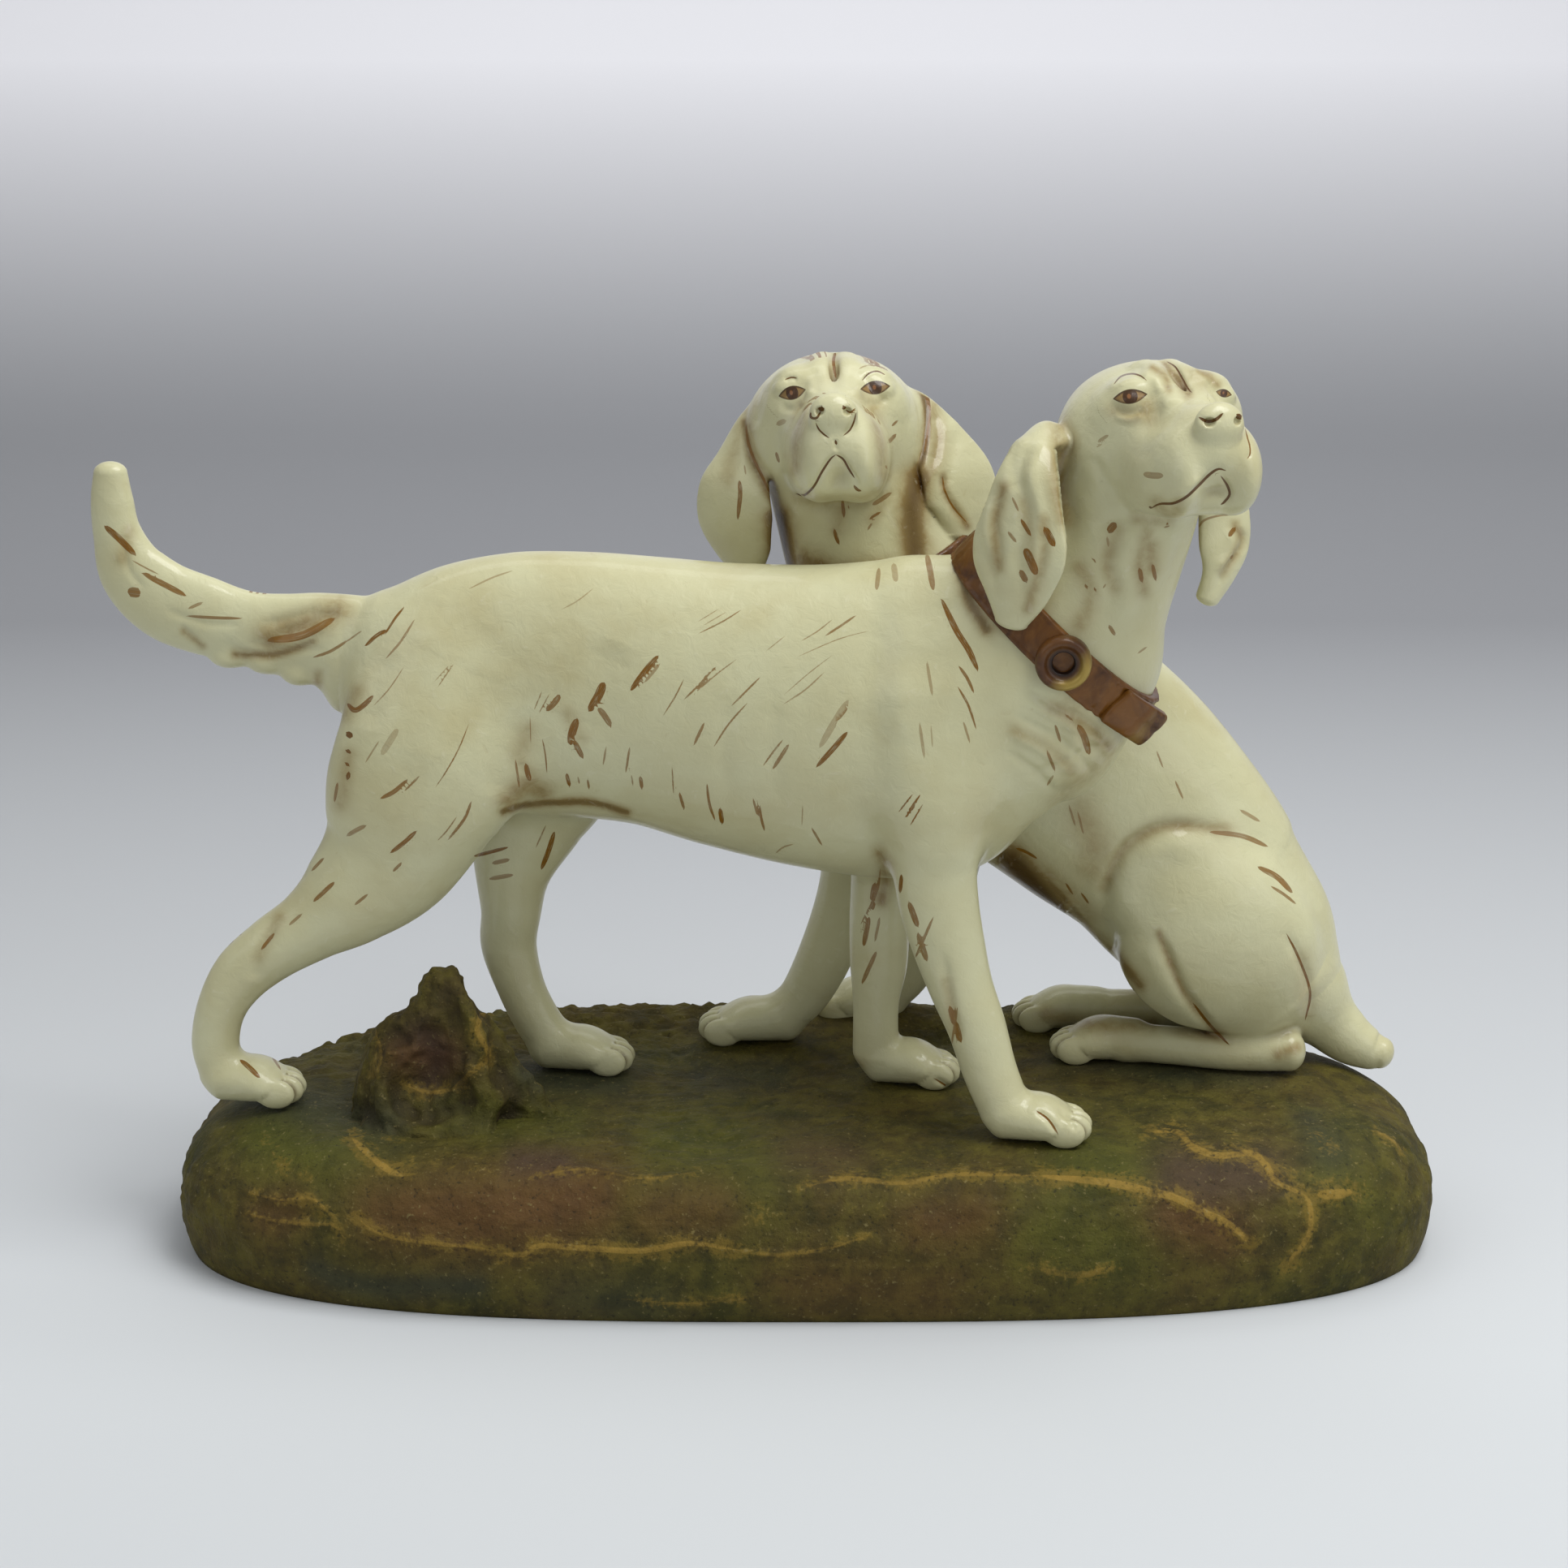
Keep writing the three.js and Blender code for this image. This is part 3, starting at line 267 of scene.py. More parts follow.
# %% Lumps of clay
class Spline:
    """Catmull-Rom curve through rows of numbers: a + b t + c t² + d t³ for each span."""

    def __init__(self, rows):
        rows = np.asarray(rows, float)
        p = np.vstack([2 * rows[0] - rows[1], rows, 2 * rows[-1] - rows[-2]])
        p0, p1, p2, p3 = p[:-3], p[1:-2], p[2:-1], p[3:]
        self.terms = np.stack([2 * p1, p2 - p0, 2 * p0 - 5 * p1 + 4 * p2 - p3, 3 * p1 - p0 - 3 * p2 + p3]) / 2
        self.last = len(rows) - 1

    def at(self, s):
        """The curve, its slope and its second slope at the parameters s, which run from 0 to `last`."""
        span = np.minimum(s.astype(int), self.last - 1)
        t = (s - span)[:, None]
        a, b, c, d = self.terms[:, span]
        return a + t * (b + t * (c + t * d)), b + t * (2 * c + t * 3 * d), 2 * c + 6 * t * d

    def nearest(self, points, fine=2):
        """Parameters of the nearest points: the best of a chain of chords, then two Newton steps."""
        s = np.linspace(0, self.last, self.last * fine + 1)
        chain = self.at(s)[0][:, :3]
        best = np.full(len(points), 1e12)
        found = np.zeros(len(points))
        for j in range(len(chain) - 1):
            d = chain[j + 1] - chain[j]
            q = points - chain[j]
            t = np.clip(q @ d / max(d @ d, 1e-9), 0, 1)
            q -= t[:, None] * d
            near = np.einsum("ij,ij->i", q, q)
            closer = near < best
            best[closer] = near[closer]
            found[closer] = s[j] + t[closer] / fine
        for _ in range(2):
            place, slope, bend = (part[:, :3] for part in self.at(found))
            q = place - points
            length = np.einsum("ij,ij->i", slope, slope)
            steep = np.maximum(length + np.einsum("ij,ij->i", q, bend), 0.35 * length)
            step = np.einsum("ij,ij->i", q, slope) / np.maximum(steep, 1e-9)
            found = np.clip(found - np.clip(step, -0.4, 0.4), 0, self.last)
        return found


def unit(v):
    return v / np.maximum(np.linalg.norm(v, axis=-1, keepdims=True), 1e-9)


def oval(u, v, w, a, b, c):
    """Distance to an egg of half sizes a, b, c: k (k - 1) / m, k = |(u/a, v/b, w/c)|, m = |(u/a², ...)|."""
    u, v, w = u / a, v / b, w / c
    k = np.sqrt(u * u + v * v + w * w)
    m = np.sqrt((u / a) ** 2 + (v / b) ** 2 + (w / c) ** 2)
    return k * (k - 1) / np.maximum(m, 1e-6)


class Lump:
    """A body through oval sections: rows of x, y, z, half width along `across`, half depth square to it."""

    def __init__(self, rows, blend, across=(0, 1, 0), ends=0.8):
        self.spline, self.across = Spline(rows), np.asarray(across, float)
        self.blend, self.ends = blend, ends
        table = self.spline.at(np.linspace(0, self.spline.last, 60))[0]
        reach = table[:, 3:].max(1)[:, None]
        self.low, self.high = (table[:, :3] - reach).min(0), (table[:, :3] + reach).max(0)

    def distance(self, points):
        table, slope, _ = self.spline.at(self.spline.nearest(points))
        along = unit(slope[:, :3])
        wide = unit(self.across - along * (along @ self.across)[:, None])
        q = points - table[:, :3]
        u, v, w = (np.einsum("ij,ij->i", q, axis) for axis in (wide, np.cross(along, wide), along))
        a, b = table[:, 3], table[:, 4]
        return oval(u, v, w, a, b, np.minimum(a, b) * self.ends)


class Egg:
    """An egg at a point, of three half sizes along the axes, turned by `turn` degrees about z."""

    def __init__(self, at, sizes, blend, turn=0.0):
        self.at, self.sizes, self.blend = np.asarray(at, float), np.asarray(sizes, float), blend
        self.cos, self.sin = math.cos(math.radians(turn)), math.sin(math.radians(turn))
        reach = self.sizes.max()
        self.low, self.high = self.at - reach, self.at + reach

    def distance(self, points):
        q = points - self.at
        u = q[:, 0] * self.cos + q[:, 1] * self.sin
        v = q[:, 1] * self.cos - q[:, 0] * self.sin
        return oval(u, v, q[:, 2], *self.sizes)


class Cut:
    """A groove along a path: rows of x, y, z and the radius of the wire there."""

    def __init__(self, rows, blend):
        self.spline, self.blend = Spline(rows), blend
        table = self.spline.at(np.linspace(0, self.spline.last, 40))[0]
        self.low, self.high = (table[:, :3] - table[:, 3:]).min(0), (table[:, :3] + table[:, 3:]).max(0)

    def distance(self, points):
        table = self.spline.at(self.spline.nearest(points))[0]
        return np.linalg.norm(points - table[:, :3], axis=1) - table[:, 3]

# %% [markdown]
# A `Clay` holds the lumps of one hound under the names of the castings that they belong to, so that the
# finished skin can be taken apart again into those castings. Grooves are cut after all lumps are joined.

# %% Pressing lumps together
def press(a, b, blend):
    """Smooth minimum: min(a, b) - h² k / 4, with k the blend and h = max(k - |a - b|, 0) / k."""
    h = np.maximum(blend - np.abs(a - b), 0) / blend
    return np.minimum(a, b) - h * h * blend / 4


FAR = 60.0  # mm: the distance of a point that no lump comes near to
CORNERS = np.array([[i, j, k] for i in (0, 1) for j in (0, 1) for k in (0, 1)])


class Clay:
    """Lumps and grooves, each with the casting that it belongs to and the frame that it is placed in."""

    def __init__(self):
        self.lumps, self.grooves = [], []

    def add(self, casting, lump, frame=None):
        self.lumps.append((casting, lump, frame))

    def groove(self, wire, frame=None):
        self.grooves.append(("", wire, frame))

    def local(self, points, frame):
        return points if frame is None else (points - frame[1]) @ frame[0]

    def reach(self, low, high, frame):
        """The corners of a lump's box, carried from its own frame into the hound's."""
        if frame is None:
            return low, high
        corners = (low + CORNERS * (high - low)) @ frame[0].T + frame[1]
        return corners.min(0), corners.max(0)

    def some_field(self, points, margin, own):
        """The field of one part of the points. Only lumps whose box comes within the margin are worked out."""
        total = np.full(len(points), FAR)
        for lumps, pressed in ((self.lumps, 1), (self.grooves, -1)):
            for casting, lump, frame in lumps:
                low, high = self.reach(lump.low, lump.high, frame)
                room = lump.blend + (margin if pressed > 0 else 0.5)
                close = np.nonzero(((points > low - room) & (points < high + room)).all(1))[0]
                if len(close) == 0:
                    continue
                d = lump.distance(self.local(points[close], frame))
                total[close] = pressed * press(pressed * total[close], d, lump.blend)
                if pressed > 0 and own is not None:
                    own[casting][close] = np.minimum(own[casting][close], d)
        return total

    def field(self, points, margin=7.0, castings=None):
        """The distance of every point. With `castings`, each casting's own distance comes too."""
        parts = np.array_split(np.arange(len(points)), max(1, len(points) // 20000))
        owns = [{name: np.full(len(part), FAR) for name in castings} if castings else None for part in parts]
        with ThreadPoolExecutor(4) as pool:
            totals = list(pool.map(lambda part, own: self.some_field(points[part], margin, own), parts, owns))
        if not castings:
            return np.concatenate(totals)
        return np.concatenate(totals), [np.concatenate([own[name] for own in owns]) for name in castings]

# %% [markdown]
# ## Skinning
# The skin is found on a grid of cubes. A cube that the surface crosses gets one point, at the mean of the
# places where its edges are crossed, and four neighbouring cubes round a crossed edge make one face. Only
# cubes near the surface are worked out: a coarse look with cells four times as wide says where they are. Each
# point is then moved onto the surface along its slope, and the slope is kept as the surface's own normal,
# which is what makes thin glaze look smooth.

# %% From distances to a skin
def crossings(values, axis):
    """The grid edges along one axis that the surface crosses, and the share along each of the crossing."""
    first = np.take(values, range(values.shape[axis] - 1), axis)
    second = np.take(values, range(1, values.shape[axis]), axis)
    where = np.array(np.nonzero((first < 0) != (second < 0))).T
    a, b = first[tuple(where.T)], second[tuple(where.T)]
    return where, a / (a - b), a < 0


CUBE = np.array([[i, j, k] for i in (0, 1, 2) for j in (0, 1, 2) for k in (0, 1, 2)])


def surface(clay, low, high, step):
    """Points and faces where the clay's distance is nought, inside a box."""
    cells = np.ceil((high - low) / (4 * step)).astype(int)
    every = np.array(np.nonzero(np.ones(cells, bool))).T
    rough = clay.field(low + (every + 0.5) * 4 * step)
    side = np.where(rough < 0, -9.0, 9.0).reshape(cells).astype(np.float32)
    values = np.pad(side.repeat(4, 0).repeat(4, 1).repeat(4, 2), ((0, 1),) * 3, mode="edge")
    halves = (every[np.abs(rough) < 3.5 * step + 1.5][:, None] * 2 + CORNERS).reshape(-1, 3)
    rough = clay.field(low + (halves + 0.5) * 2 * step, 5.0)
    for corner in CORNERS:
        values[tuple((halves * 2 + corner).T)] = np.where(rough < 0, -9, 9)
    halves = halves[np.abs(rough) < 1.75 * step + 0.8]
    wanted = np.zeros(values.shape, bool)
    for corner in CUBE:
        wanted[tuple((halves * 2 + corner).T)] = True
    nodes = np.array(np.nonzero(wanted)).T
    values[tuple(nodes.T)] = clay.field(low + nodes * step, 3.0)
    shape = values.shape
    edge_cells, edge_points, quads = [], [], []
    strides = np.array([shape[1] * shape[2], shape[2], 1])
    for axis in range(3):
        where, share, outward = crossings(values, axis)
        b, c = (axis + 1) % 3, (axis + 2) % 3
        inner = ((where > 0) & (where < np.array(shape) - 1))[:, [b, c]].all(1)
        where, share, outward = where[inner], share[inner], outward[inner]
        point = where.astype(float)
        point[:, axis] += share
        ring = []
        for db, dc in ((1, 1), (0, 1), (0, 0), (1, 0)):
            cell = where.copy()
            cell[:, b] -= db
            cell[:, c] -= dc
            ring.append(cell @ strides)
            edge_cells.append(ring[-1])
            edge_points.append(point)
        ring = np.array(ring).T
        quads.append(np.where(outward[:, None], ring, ring[:, ::-1]))
    ids, inverse = np.unique(np.concatenate(edge_cells), return_inverse=True)
    counts = np.bincount(inverse, minlength=len(ids))
    places = np.concatenate(edge_points)
    points = np.stack([np.bincount(inverse, places[:, i], len(ids)) / counts for i in range(3)], 1)
    faces = np.searchsorted(ids, np.concatenate(quads))
    return low + points * step, faces


TETRA = np.array([[1, 1, 1], [1, -1, -1], [-1, 1, -1], [-1, -1, 1]]) / math.sqrt(3)


def slope(clay, points, reach):
    """The gradient of the distance, from four points of a small tetrahedron round each point."""
    total = np.zeros_like(points)
    for direction in TETRA:
        total += direction * clay.field(points + direction * reach, 1.5)[:, None]
    return total * 0.75 / reach


def settle(clay, points, step):
    """Moves points onto the surface along the slope, by at most 0.6 of a grid step."""
    g = slope(clay, points, 0.2 * step)
    steep = np.maximum(np.linalg.norm(g, axis=1), 0.3)
    move = np.clip(clay.field(points, 1.5) / steep, -0.6 * step, 0.6 * step)
    points = points - unit(g) * move[:, None]
    return points, unit(slope(clay, points, 0.35 * step))

# %% [markdown]
# ## The standing hound's shape
# The rows below are a modeller's measures in the hound's own frame: x forward, y to its left and z up from
# the ground under its paws. Each row is a section: where its middle is, its half width and its half depth.
# Legs sink deep into the trunk, so that the smooth minimum can draw the fillet of shoulder and thigh.

# %% Standing hound
STANDING = {
    "body": [
        [-92, 0, 130, 9, 13], [-83, 0, 129, 17, 24], [-66, 0, 128, 21.5, 33.5], [-44, 0, 127.5, 22, 39],
        [-22, 0, 127.5, 23.5, 40], [0, 0, 126, 25.5, 40.5], [23, 0, 122.5, 27, 43], [46, 0, 120, 28, 45.5],
        [66, 0, 119.5, 28, 47.5], [85, 0, 121, 27, 48], [104, 0, 122.5, 24, 39], [120, 0, 122.5, 19, 24]],
    "neck": [
        [80, 0, 99, 13, 17], [91, 0, 114, 21, 28], [104, 0, 131, 26.5, 35], [117, 0, 149, 25, 34],
        [124.5, 0, 162.5, 22.5, 27], [131, -0.5, 176, 21, 23.5], [136, -1.5, 190, 20.5, 22],
        [141, -2.5, 202, 19, 20]],
    "near_hind_leg": [
        [-52, -9, 134, 11, 25], [-60, -14, 116, 15, 29], [-69, -16, 98, 15, 27], [-78, -15.5, 78, 12.5, 21],
        [-90.5, -17, 64.5, 10.5, 15.5], [-101.5, -18, 56, 8.8, 11.2], [-113, -19, 48.5, 8, 9.6],
        [-123, -19.5, 40, 7.3, 8.7], [-129.5, -20, 29.5, 6.8, 7.4], [-132, -20, 18, 6.6, 7.2],
        [-130, -20, 9, 6.8, 7.4]],
    "far_hind_leg": [
        [-38, 10, 122, 12, 28], [-38, 13.5, 100, 14, 26], [-43, 15, 80, 12, 18.5], [-46.5, 15, 64, 9, 12],
        [-47.5, 15.5, 51, 7.8, 9.3], [-48.5, 16, 39.5, 7, 8.6], [-45, 16, 26, 6.6, 7.4],
        [-40.5, 16, 16, 6.6, 7.2], [-36, 16, 9, 6.8, 7.2]],
    "near_foreleg": [
        [80, -17, 131, 11, 19], [83, -20, 108, 13.5, 19], [84, -20.5, 93, 12.5, 14.5],
        [84.5, -20.5, 81, 10.3, 12.3], [86, -21, 70, 9.4, 11.6], [89, -21.5, 58, 8.6, 10.6],
        [92.7, -22, 46, 8, 9.4], [97.5, -23, 34, 7.5, 8.6], [101.5, -23.5, 21, 7.3, 8],
        [106, -24, 10, 7.6, 7.6]],
    "far_foreleg": [
        [72, 14, 120, 12, 20], [69, 16, 98, 12.5, 15.5], [67.3, 14.5, 84, 9.8, 11.5], [66.8, 15, 68, 9, 9.8],
        [65.8, 15.5, 52, 8.2, 9.2], [65.5, 16, 38, 7.5, 8.7], [64.8, 16, 25, 6.8, 7], [64.8, 16, 10, 7, 7]],
    "tail": [
        [-60, 0, 140, 5, 5.5], [-72, 0, 141, 7, 8.5], [-84, 0, 141, 8.4, 11.4], [-98, 0, 140.5, 8.4, 12.8],
        [-110.5, 0, 140.5, 7.4, 12.3], [-122.5, 0, 142.5, 6.7, 11], [-134.6, 0, 145.5, 6.7, 12],
        [-146.5, 0, 150, 6.4, 12], [-155.5, 0, 158.5, 6, 10.5], [-159.6, 0, 170, 5.4, 7.3],
        [-160.6, 0, 180, 4.9, 6.3], [-160.6, 0, 188, 4.2, 5]],
    "near_ear": [
        [119, -8, 205, 5], [114, -13.5, 206, 6], [110.8, -19, 205.5, 6.5], [109.8, -22.5, 202.5, 7.8],
        [109, -25.5, 197, 9.8], [108.3, -27, 189, 11.8], [107.6, -28, 181, 14], [106.8, -28, 173.5, 13.5],
        [106.4, -27.3, 165.5, 10], [105.4, -26, 157, 5]],
    "far_ear": [
        [158, 10, 212, 6], [161, 13.5, 203, 7], [162.5, 15, 190, 7.5], [164.3, 14.5, 180, 9],
        [164.6, 13, 171, 8.8], [163.4, 11.5, 163.5, 6], [160.4, 10, 156.5, 4]]}
STANDING_PAWS = {  # heel, side, toes, half width
    "near_hind_leg": (-130, -20, -112, 9.6), "far_hind_leg": (-37, 16, -17, 9),
    "near_foreleg": (106, -24, 125, 10), "far_foreleg": (66, 16, 84, 9)}
STANDING_PLACE = (-45, -4, 44), -6.3  # its origin on the ground, and its turn about z in degrees

# %% [markdown]
# ## The seated hound's shape
# It sits behind the other's shoulder and leans back from its shoulders to its haunches. Its thigh is folded
# over the hind foot, and it faces out over the standing hound's back. The ears have no depth in their rows:
# each is a leaf of one thickness.

# %% Seated hound
SEATED = {
    "body": [
        [49, 0, 20, 17, 19], [39, 0, 37, 21, 27], [24, 0, 52, 23, 34], [10, 0, 69, 24, 36.5],
        [-4.5, 0, 83, 26, 39.5], [-20.5, 0, 96.5, 26.5, 41], [-37, 0, 108, 26, 41.5], [-52, 0, 118, 24, 38]],
    "neck": [
        [-52, 1, 112, 23, 36], [-64, 2, 128, 22.5, 31], [-73, 3, 143, 21.5, 29], [-80, 4, 157, 20.5, 26],
        [-85.5, 5, 172, 20, 24], [-89.5, 6, 186, 19.5, 22.5], [-91.5, 6.5, 198, 18, 19]],
    "near_haunch": [
        [-3, -14, 64, 7, 10], [8, -17, 58, 11, 21], [20, -18, 47, 13, 28], [33, -17, 34, 12, 26],
        [43, -14, 22, 9, 17]],
    "far_haunch": [
        [-3, 14, 64, 7, 10], [8, 17, 58, 11, 21], [20, 18, 47, 13, 28], [33, 17, 34, 12, 26],
        [43, 14, 22, 9, 17]],
    "near_hind_foot": [
        [49, -17, 7, 6.5, 6.5], [32, -15, 6, 6, 6], [15, -11, 6.2, 6, 6], [0, -7, 6, 6.5, 5.8]],
    "far_hind_foot": [
        [42, 16, 7, 6.5, 6.5], [16, 17, 7, 6, 6.2], [5.5, 19, 7, 6, 6.2], [-10, 21, 6.5, 6.5, 6]],
    "near_foreleg": [
        [-70, -3, 108, 12, 17], [-79, -2, 90, 11, 13], [-83.5, 0, 76, 10, 10.8], [-86, 3, 57, 9, 9.6],
        [-89.4, 5, 43, 8.5, 9], [-95, 7, 27, 8, 8.5], [-101, 9, 15, 7.5, 7.6], [-107, 10, 9, 7.5, 7]],
    "far_foreleg": [
        [-52, 12, 98, 12, 16], [-54, 15, 78, 10.5, 12.5], [-55, 18, 60, 9.5, 10.5], [-57, 21, 45, 8.5, 9],
        [-61, 24, 28, 7.5, 7.8], [-67, 27, 16, 7, 7], [-73, 29, 9, 7, 7]],
    "tail": [
        [54, -1, 26, 10, 10], [61, -1, 14, 9, 10], [69, -2, 6, 7.8, 8.5], [76, -3, 2, 6.6, 6.6],
        [80, -4, 1, 5.2, 5]],
    "near_ear": [
        [-108, 9, 203, 6.5], [-114, 8, 198, 8], [-118.8, 5, 188, 10], [-121.7, 2, 180, 13],
        [-121.5, 1, 170, 14], [-119, 1, 160.5, 10.5], [-117, 1, 154, 5]],
    "far_ear": [
        [-75, 10, 206, 6], [-69, 9, 203, 7.5], [-61.5, 6.5, 194, 10.5], [-55.5, 3.5, 184, 13.5],
        [-53.5, 2, 175, 13], [-54, 0, 166, 6]]}
SEATED_PAWS = {  # heel, side, toes, half width
    "near_hind_foot": (2, -6, -17, 8.4), "far_hind_foot": (-8, 21, -27, 8.2),
    "near_foreleg": (-106, 10.5, -127, 9.5), "far_foreleg": (-73, 30, -91, 8.5)}
SEATED_PLACE = (100, 29, 44), 0.0

# %% [markdown]
# ## The head
# One head was modelled for both hounds, in its own frame: nose along x, its left along y, and the middle of
# the skull at nought. Deep brows stand over the eyes, the muzzle is square, and the flews hang below the jaw.
# The lumps come in this order: skull, muzzle, nose end, jaw and chin; on each side cheek, two for the flew,
# eyeball, brow, lid and the ridge beside the furrow; last the nose pad, the furrow's groove and the nostrils.

# %% Head
def turn_about_z(a):
    return np.array([[math.cos(a), -math.sin(a), 0], [math.sin(a), math.cos(a), 0], [0, 0, 1]])


def head_frame(place, yaw, pitch):
    """Columns are the head's three directions: turned by yaw about z, after the nose is raised by pitch."""
    b = math.radians(pitch)
    raised = np.array([[math.cos(b), 0, -math.sin(b)], [0, 1, 0], [math.sin(b), 0, math.cos(b)]])
    return turn_about_z(math.radians(yaw)) @ raised, np.array(place, float)


def add_head(clay, frame, spread, lean):
    """`spread` is how far out the flews hang, and `lean` moves them to the head's left, for an uneven hand."""
    def put(at, sizes, blend, turn=0.0):
        clay.add("head", Egg(at, sizes, blend, turn), frame)

    put((-5, 0, 0.5), (31, 24.5, 19), 7)
    put((22, 0, -4), (22, 12, 13.5), 7)
    put((37, 0, -3.5), (12.5, 10, 11), 5)
    put((10, 0, -14), (18, 11.5, 8.5), 5)
    put((30, lean, -17), (12, 8, 5.2), 2.5)
    for side in (-1, 1):
        put((-4, 14 * side, -6), (17, 12, 14), 6)
        put((24, (spread + 1.5) * side + lean * 0.6, -11), (14, 6, 10.5), 7)
        put((36, (spread - 0.6) * side + lean, -10.5), (12, 5.6, 11), 6)
        put((8.5, 11.5 * side, 5), (9.2, 9.5, 9.2), 3.5)
        put((12, 9.5 * side, 12.2), (6, 6.6, 3.6), 4, -12 * side)
        put((15, 13 * side, 9), (4.2, 4.6, 3.4), 1.5)
        clay.add("head", Lump([[3, 3.6 * side, 16.8, 2.8, 2.4], [12, 3.8 * side, 15.4, 2.8, 2.2],
                               [19, 4.2 * side, 11.4, 2.4, 1.8], [26, 4.6 * side, 8, 2.2, 1.4]], 3.5), frame)
    put((46.5, 0, 3), (4.5, 7, 6.2), 1.6)
    furrow = [[6, 0, 20.4, 0.3], [12, 0, 18.6, 0.6], [17, 0, 14.6, 0.6], [22, 0, 10.4, 0.3]]
    clay.groove(Cut(furrow, 1.8), frame)
    for side in (-1, 1):
        clay.groove(Egg((50.6, 4.1 * side, 4), (2.2, 1.4, 1.3), 0.5), frame)

# %% [markdown]
# ## Legs and paws
# A paw is a low lump with four toes pressed into its front. A hound is put together from its lumps, its paws,
# its head and its ears, and locks of hair and folds of skin are pressed on last.

# %% Putting a hound together
EAR_HALF_THICKNESS = 2.75
PAW_HEIGHT = 6.5  # of the middle of a paw at its heel
PAW_SECTIONS = ((0, 1, 0.72, 1), (0.5, 1.09, 0.94, 1.06), (0.8, 0.91, 0.95, 0.88), (0.9, 0.72, 0.76, 0.69))


def add_paw(clay, casting, heel, side, toes, half):
    """Sections are shares of the length, of the paw's height, of its half width and of its half depth."""
    forward = np.sign(toes - heel)
    clay.add(casting, Lump([
        [heel + (toes - heel) * share, side, PAW_HEIGHT * middle, half * wide, PAW_HEIGHT * deep]
        for share, middle, wide, deep in PAW_SECTIONS], 3))
    for aside in (-0.75, -0.25, 0.25, 0.75):
        along = toes + forward * (1.2 - 3.6 * aside**2)
        clay.add(casting, Egg((along, side + half * 0.82 * aside, 4.4), (6, 0.94 * half / 4 + 0.35, 4.6), 0.9))


def make_clay(rows, paws, ears, head, spread, lean):
    """All lumps of a hound. `ears` gives each ear's direction across, and `head` the head's frame."""
    clay = Clay()
    clay.add("body", Lump(rows["body"], 8))
    clay.add("neck", Lump(rows["neck"], 9))
    for casting, sections in rows.items():
        if casting in ("body", "neck") or casting.endswith("ear"):
            continue
        clay.add(casting, Lump(sections, 3 if "hind_foot" in casting else 8))
    for casting, paw in paws.items():
        add_paw(clay, casting, *paw)
    add_head(clay, head, spread, lean)
    for casting, across in ears.items():
        clay.add(casting, Lump([row + [EAR_HALF_THICKNESS] for row in rows[casting]], 1.6, across))
    return clay


def add_locks(clay, casting, locks, blend):
    """Small eggs of clay pressed on as locks of hair or folds of skin: x, y, z, half sizes, turn."""
    for *at, long, wide, high, turn in locks:
        clay.add(casting, Egg(at, (long, wide, high), blend, turn))


standing_clay = make_clay(STANDING, STANDING_PAWS, {"near_ear": (0.93, -0.36, 0), "far_ear": (0.8, 0.6, 0)},
                          head_frame((144, -2.5, 207.7), yaw=-68.5, pitch=8.5), spread=9.5, lean=0)
seated_clay = make_clay(SEATED, SEATED_PAWS, {"near_ear": (0.8, -0.6, 0), "far_ear": (0.8, 0.6, 0)},
                        head_frame((-92, 6.5, 200), yaw=-91, pitch=8.5), spread=7.2, lean=2.2)

add_locks(standing_clay, "tail", [
    (-96, -1.5, 129, 6, 5.5, 4, 0), (-106, -1.5, 129.5, 5.5, 5, 4, 0), (-116, -1.5, 132.5, 5.5, 4.6, 3.6, 0),
    (-127, -1, 133.5, 6, 4.4, 3.4, 0)], 2.2)
add_locks(standing_clay, "body", [
    (120, -16, 117, 6, 4, 8, 20), (125, -9, 121, 6, 5, 9, 40), (127, -1, 122, 5, 6, 9, 0)], 6)
add_locks(standing_clay, "near_ear", [(113.5, -10.5, 202, 6, 8, 9, 0)], 4)
add_locks(standing_clay, "neck", [
    (139, -16, 178, 3, 2.6, 8, 0), (146, -13, 184, 3.2, 3, 10, 0), (150, -6, 184, 3, 3, 11, 0)], 4)

# %% [markdown]
# ## The tracing sheet
# The painter worked over the whole group at arm's length, and so the lines are laid out here on a sheet as
# the camera sees it: a stroke is a curve through points of the picture, and it lands on whatever clay faces
# the camera there. A second sheet behind the group carries the strokes of the side that can't be seen. A
# vertex keeps how far it lies across and along its nearest stroke; both run evenly over a face, so a stroke
# stays sharp on a coarse skin.

# %% Strokes on the sheet
AHEAD = np.array([0, math.cos(TILT), -math.sin(TILT)])
ABOVE = np.array([0, math.sin(TILT), math.cos(TILT)])
FOCUS, CENTRE = 4140.0, 966.0  # in the picture's units: it is 1932 across, so the lens is 36 · FOCUS / 1932 mm


def on_sheet(points, side):
    """Across and down on the picture, and the mm in a unit of it; side -1 is the sheet behind, mirrored."""
    q = points * np.array([1, side, 1]) - EYE
    depth = q @ AHEAD
    return CENTRE + FOCUS * q[:, 0] / depth, CENTRE - FOCUS * (q @ ABOVE) / depth, depth / FOCUS


def facing(points, normals, side):
    """0 where the surface is seen edge on or from behind, 1 where it looks a little towards the sheet."""
    mirror = np.array([1, side, 1])
    look = np.einsum("ij,ij->i", normals * mirror, unit(EYE - points * mirror))
    return np.clip((look - 0.03) / 0.25, 0, 1)


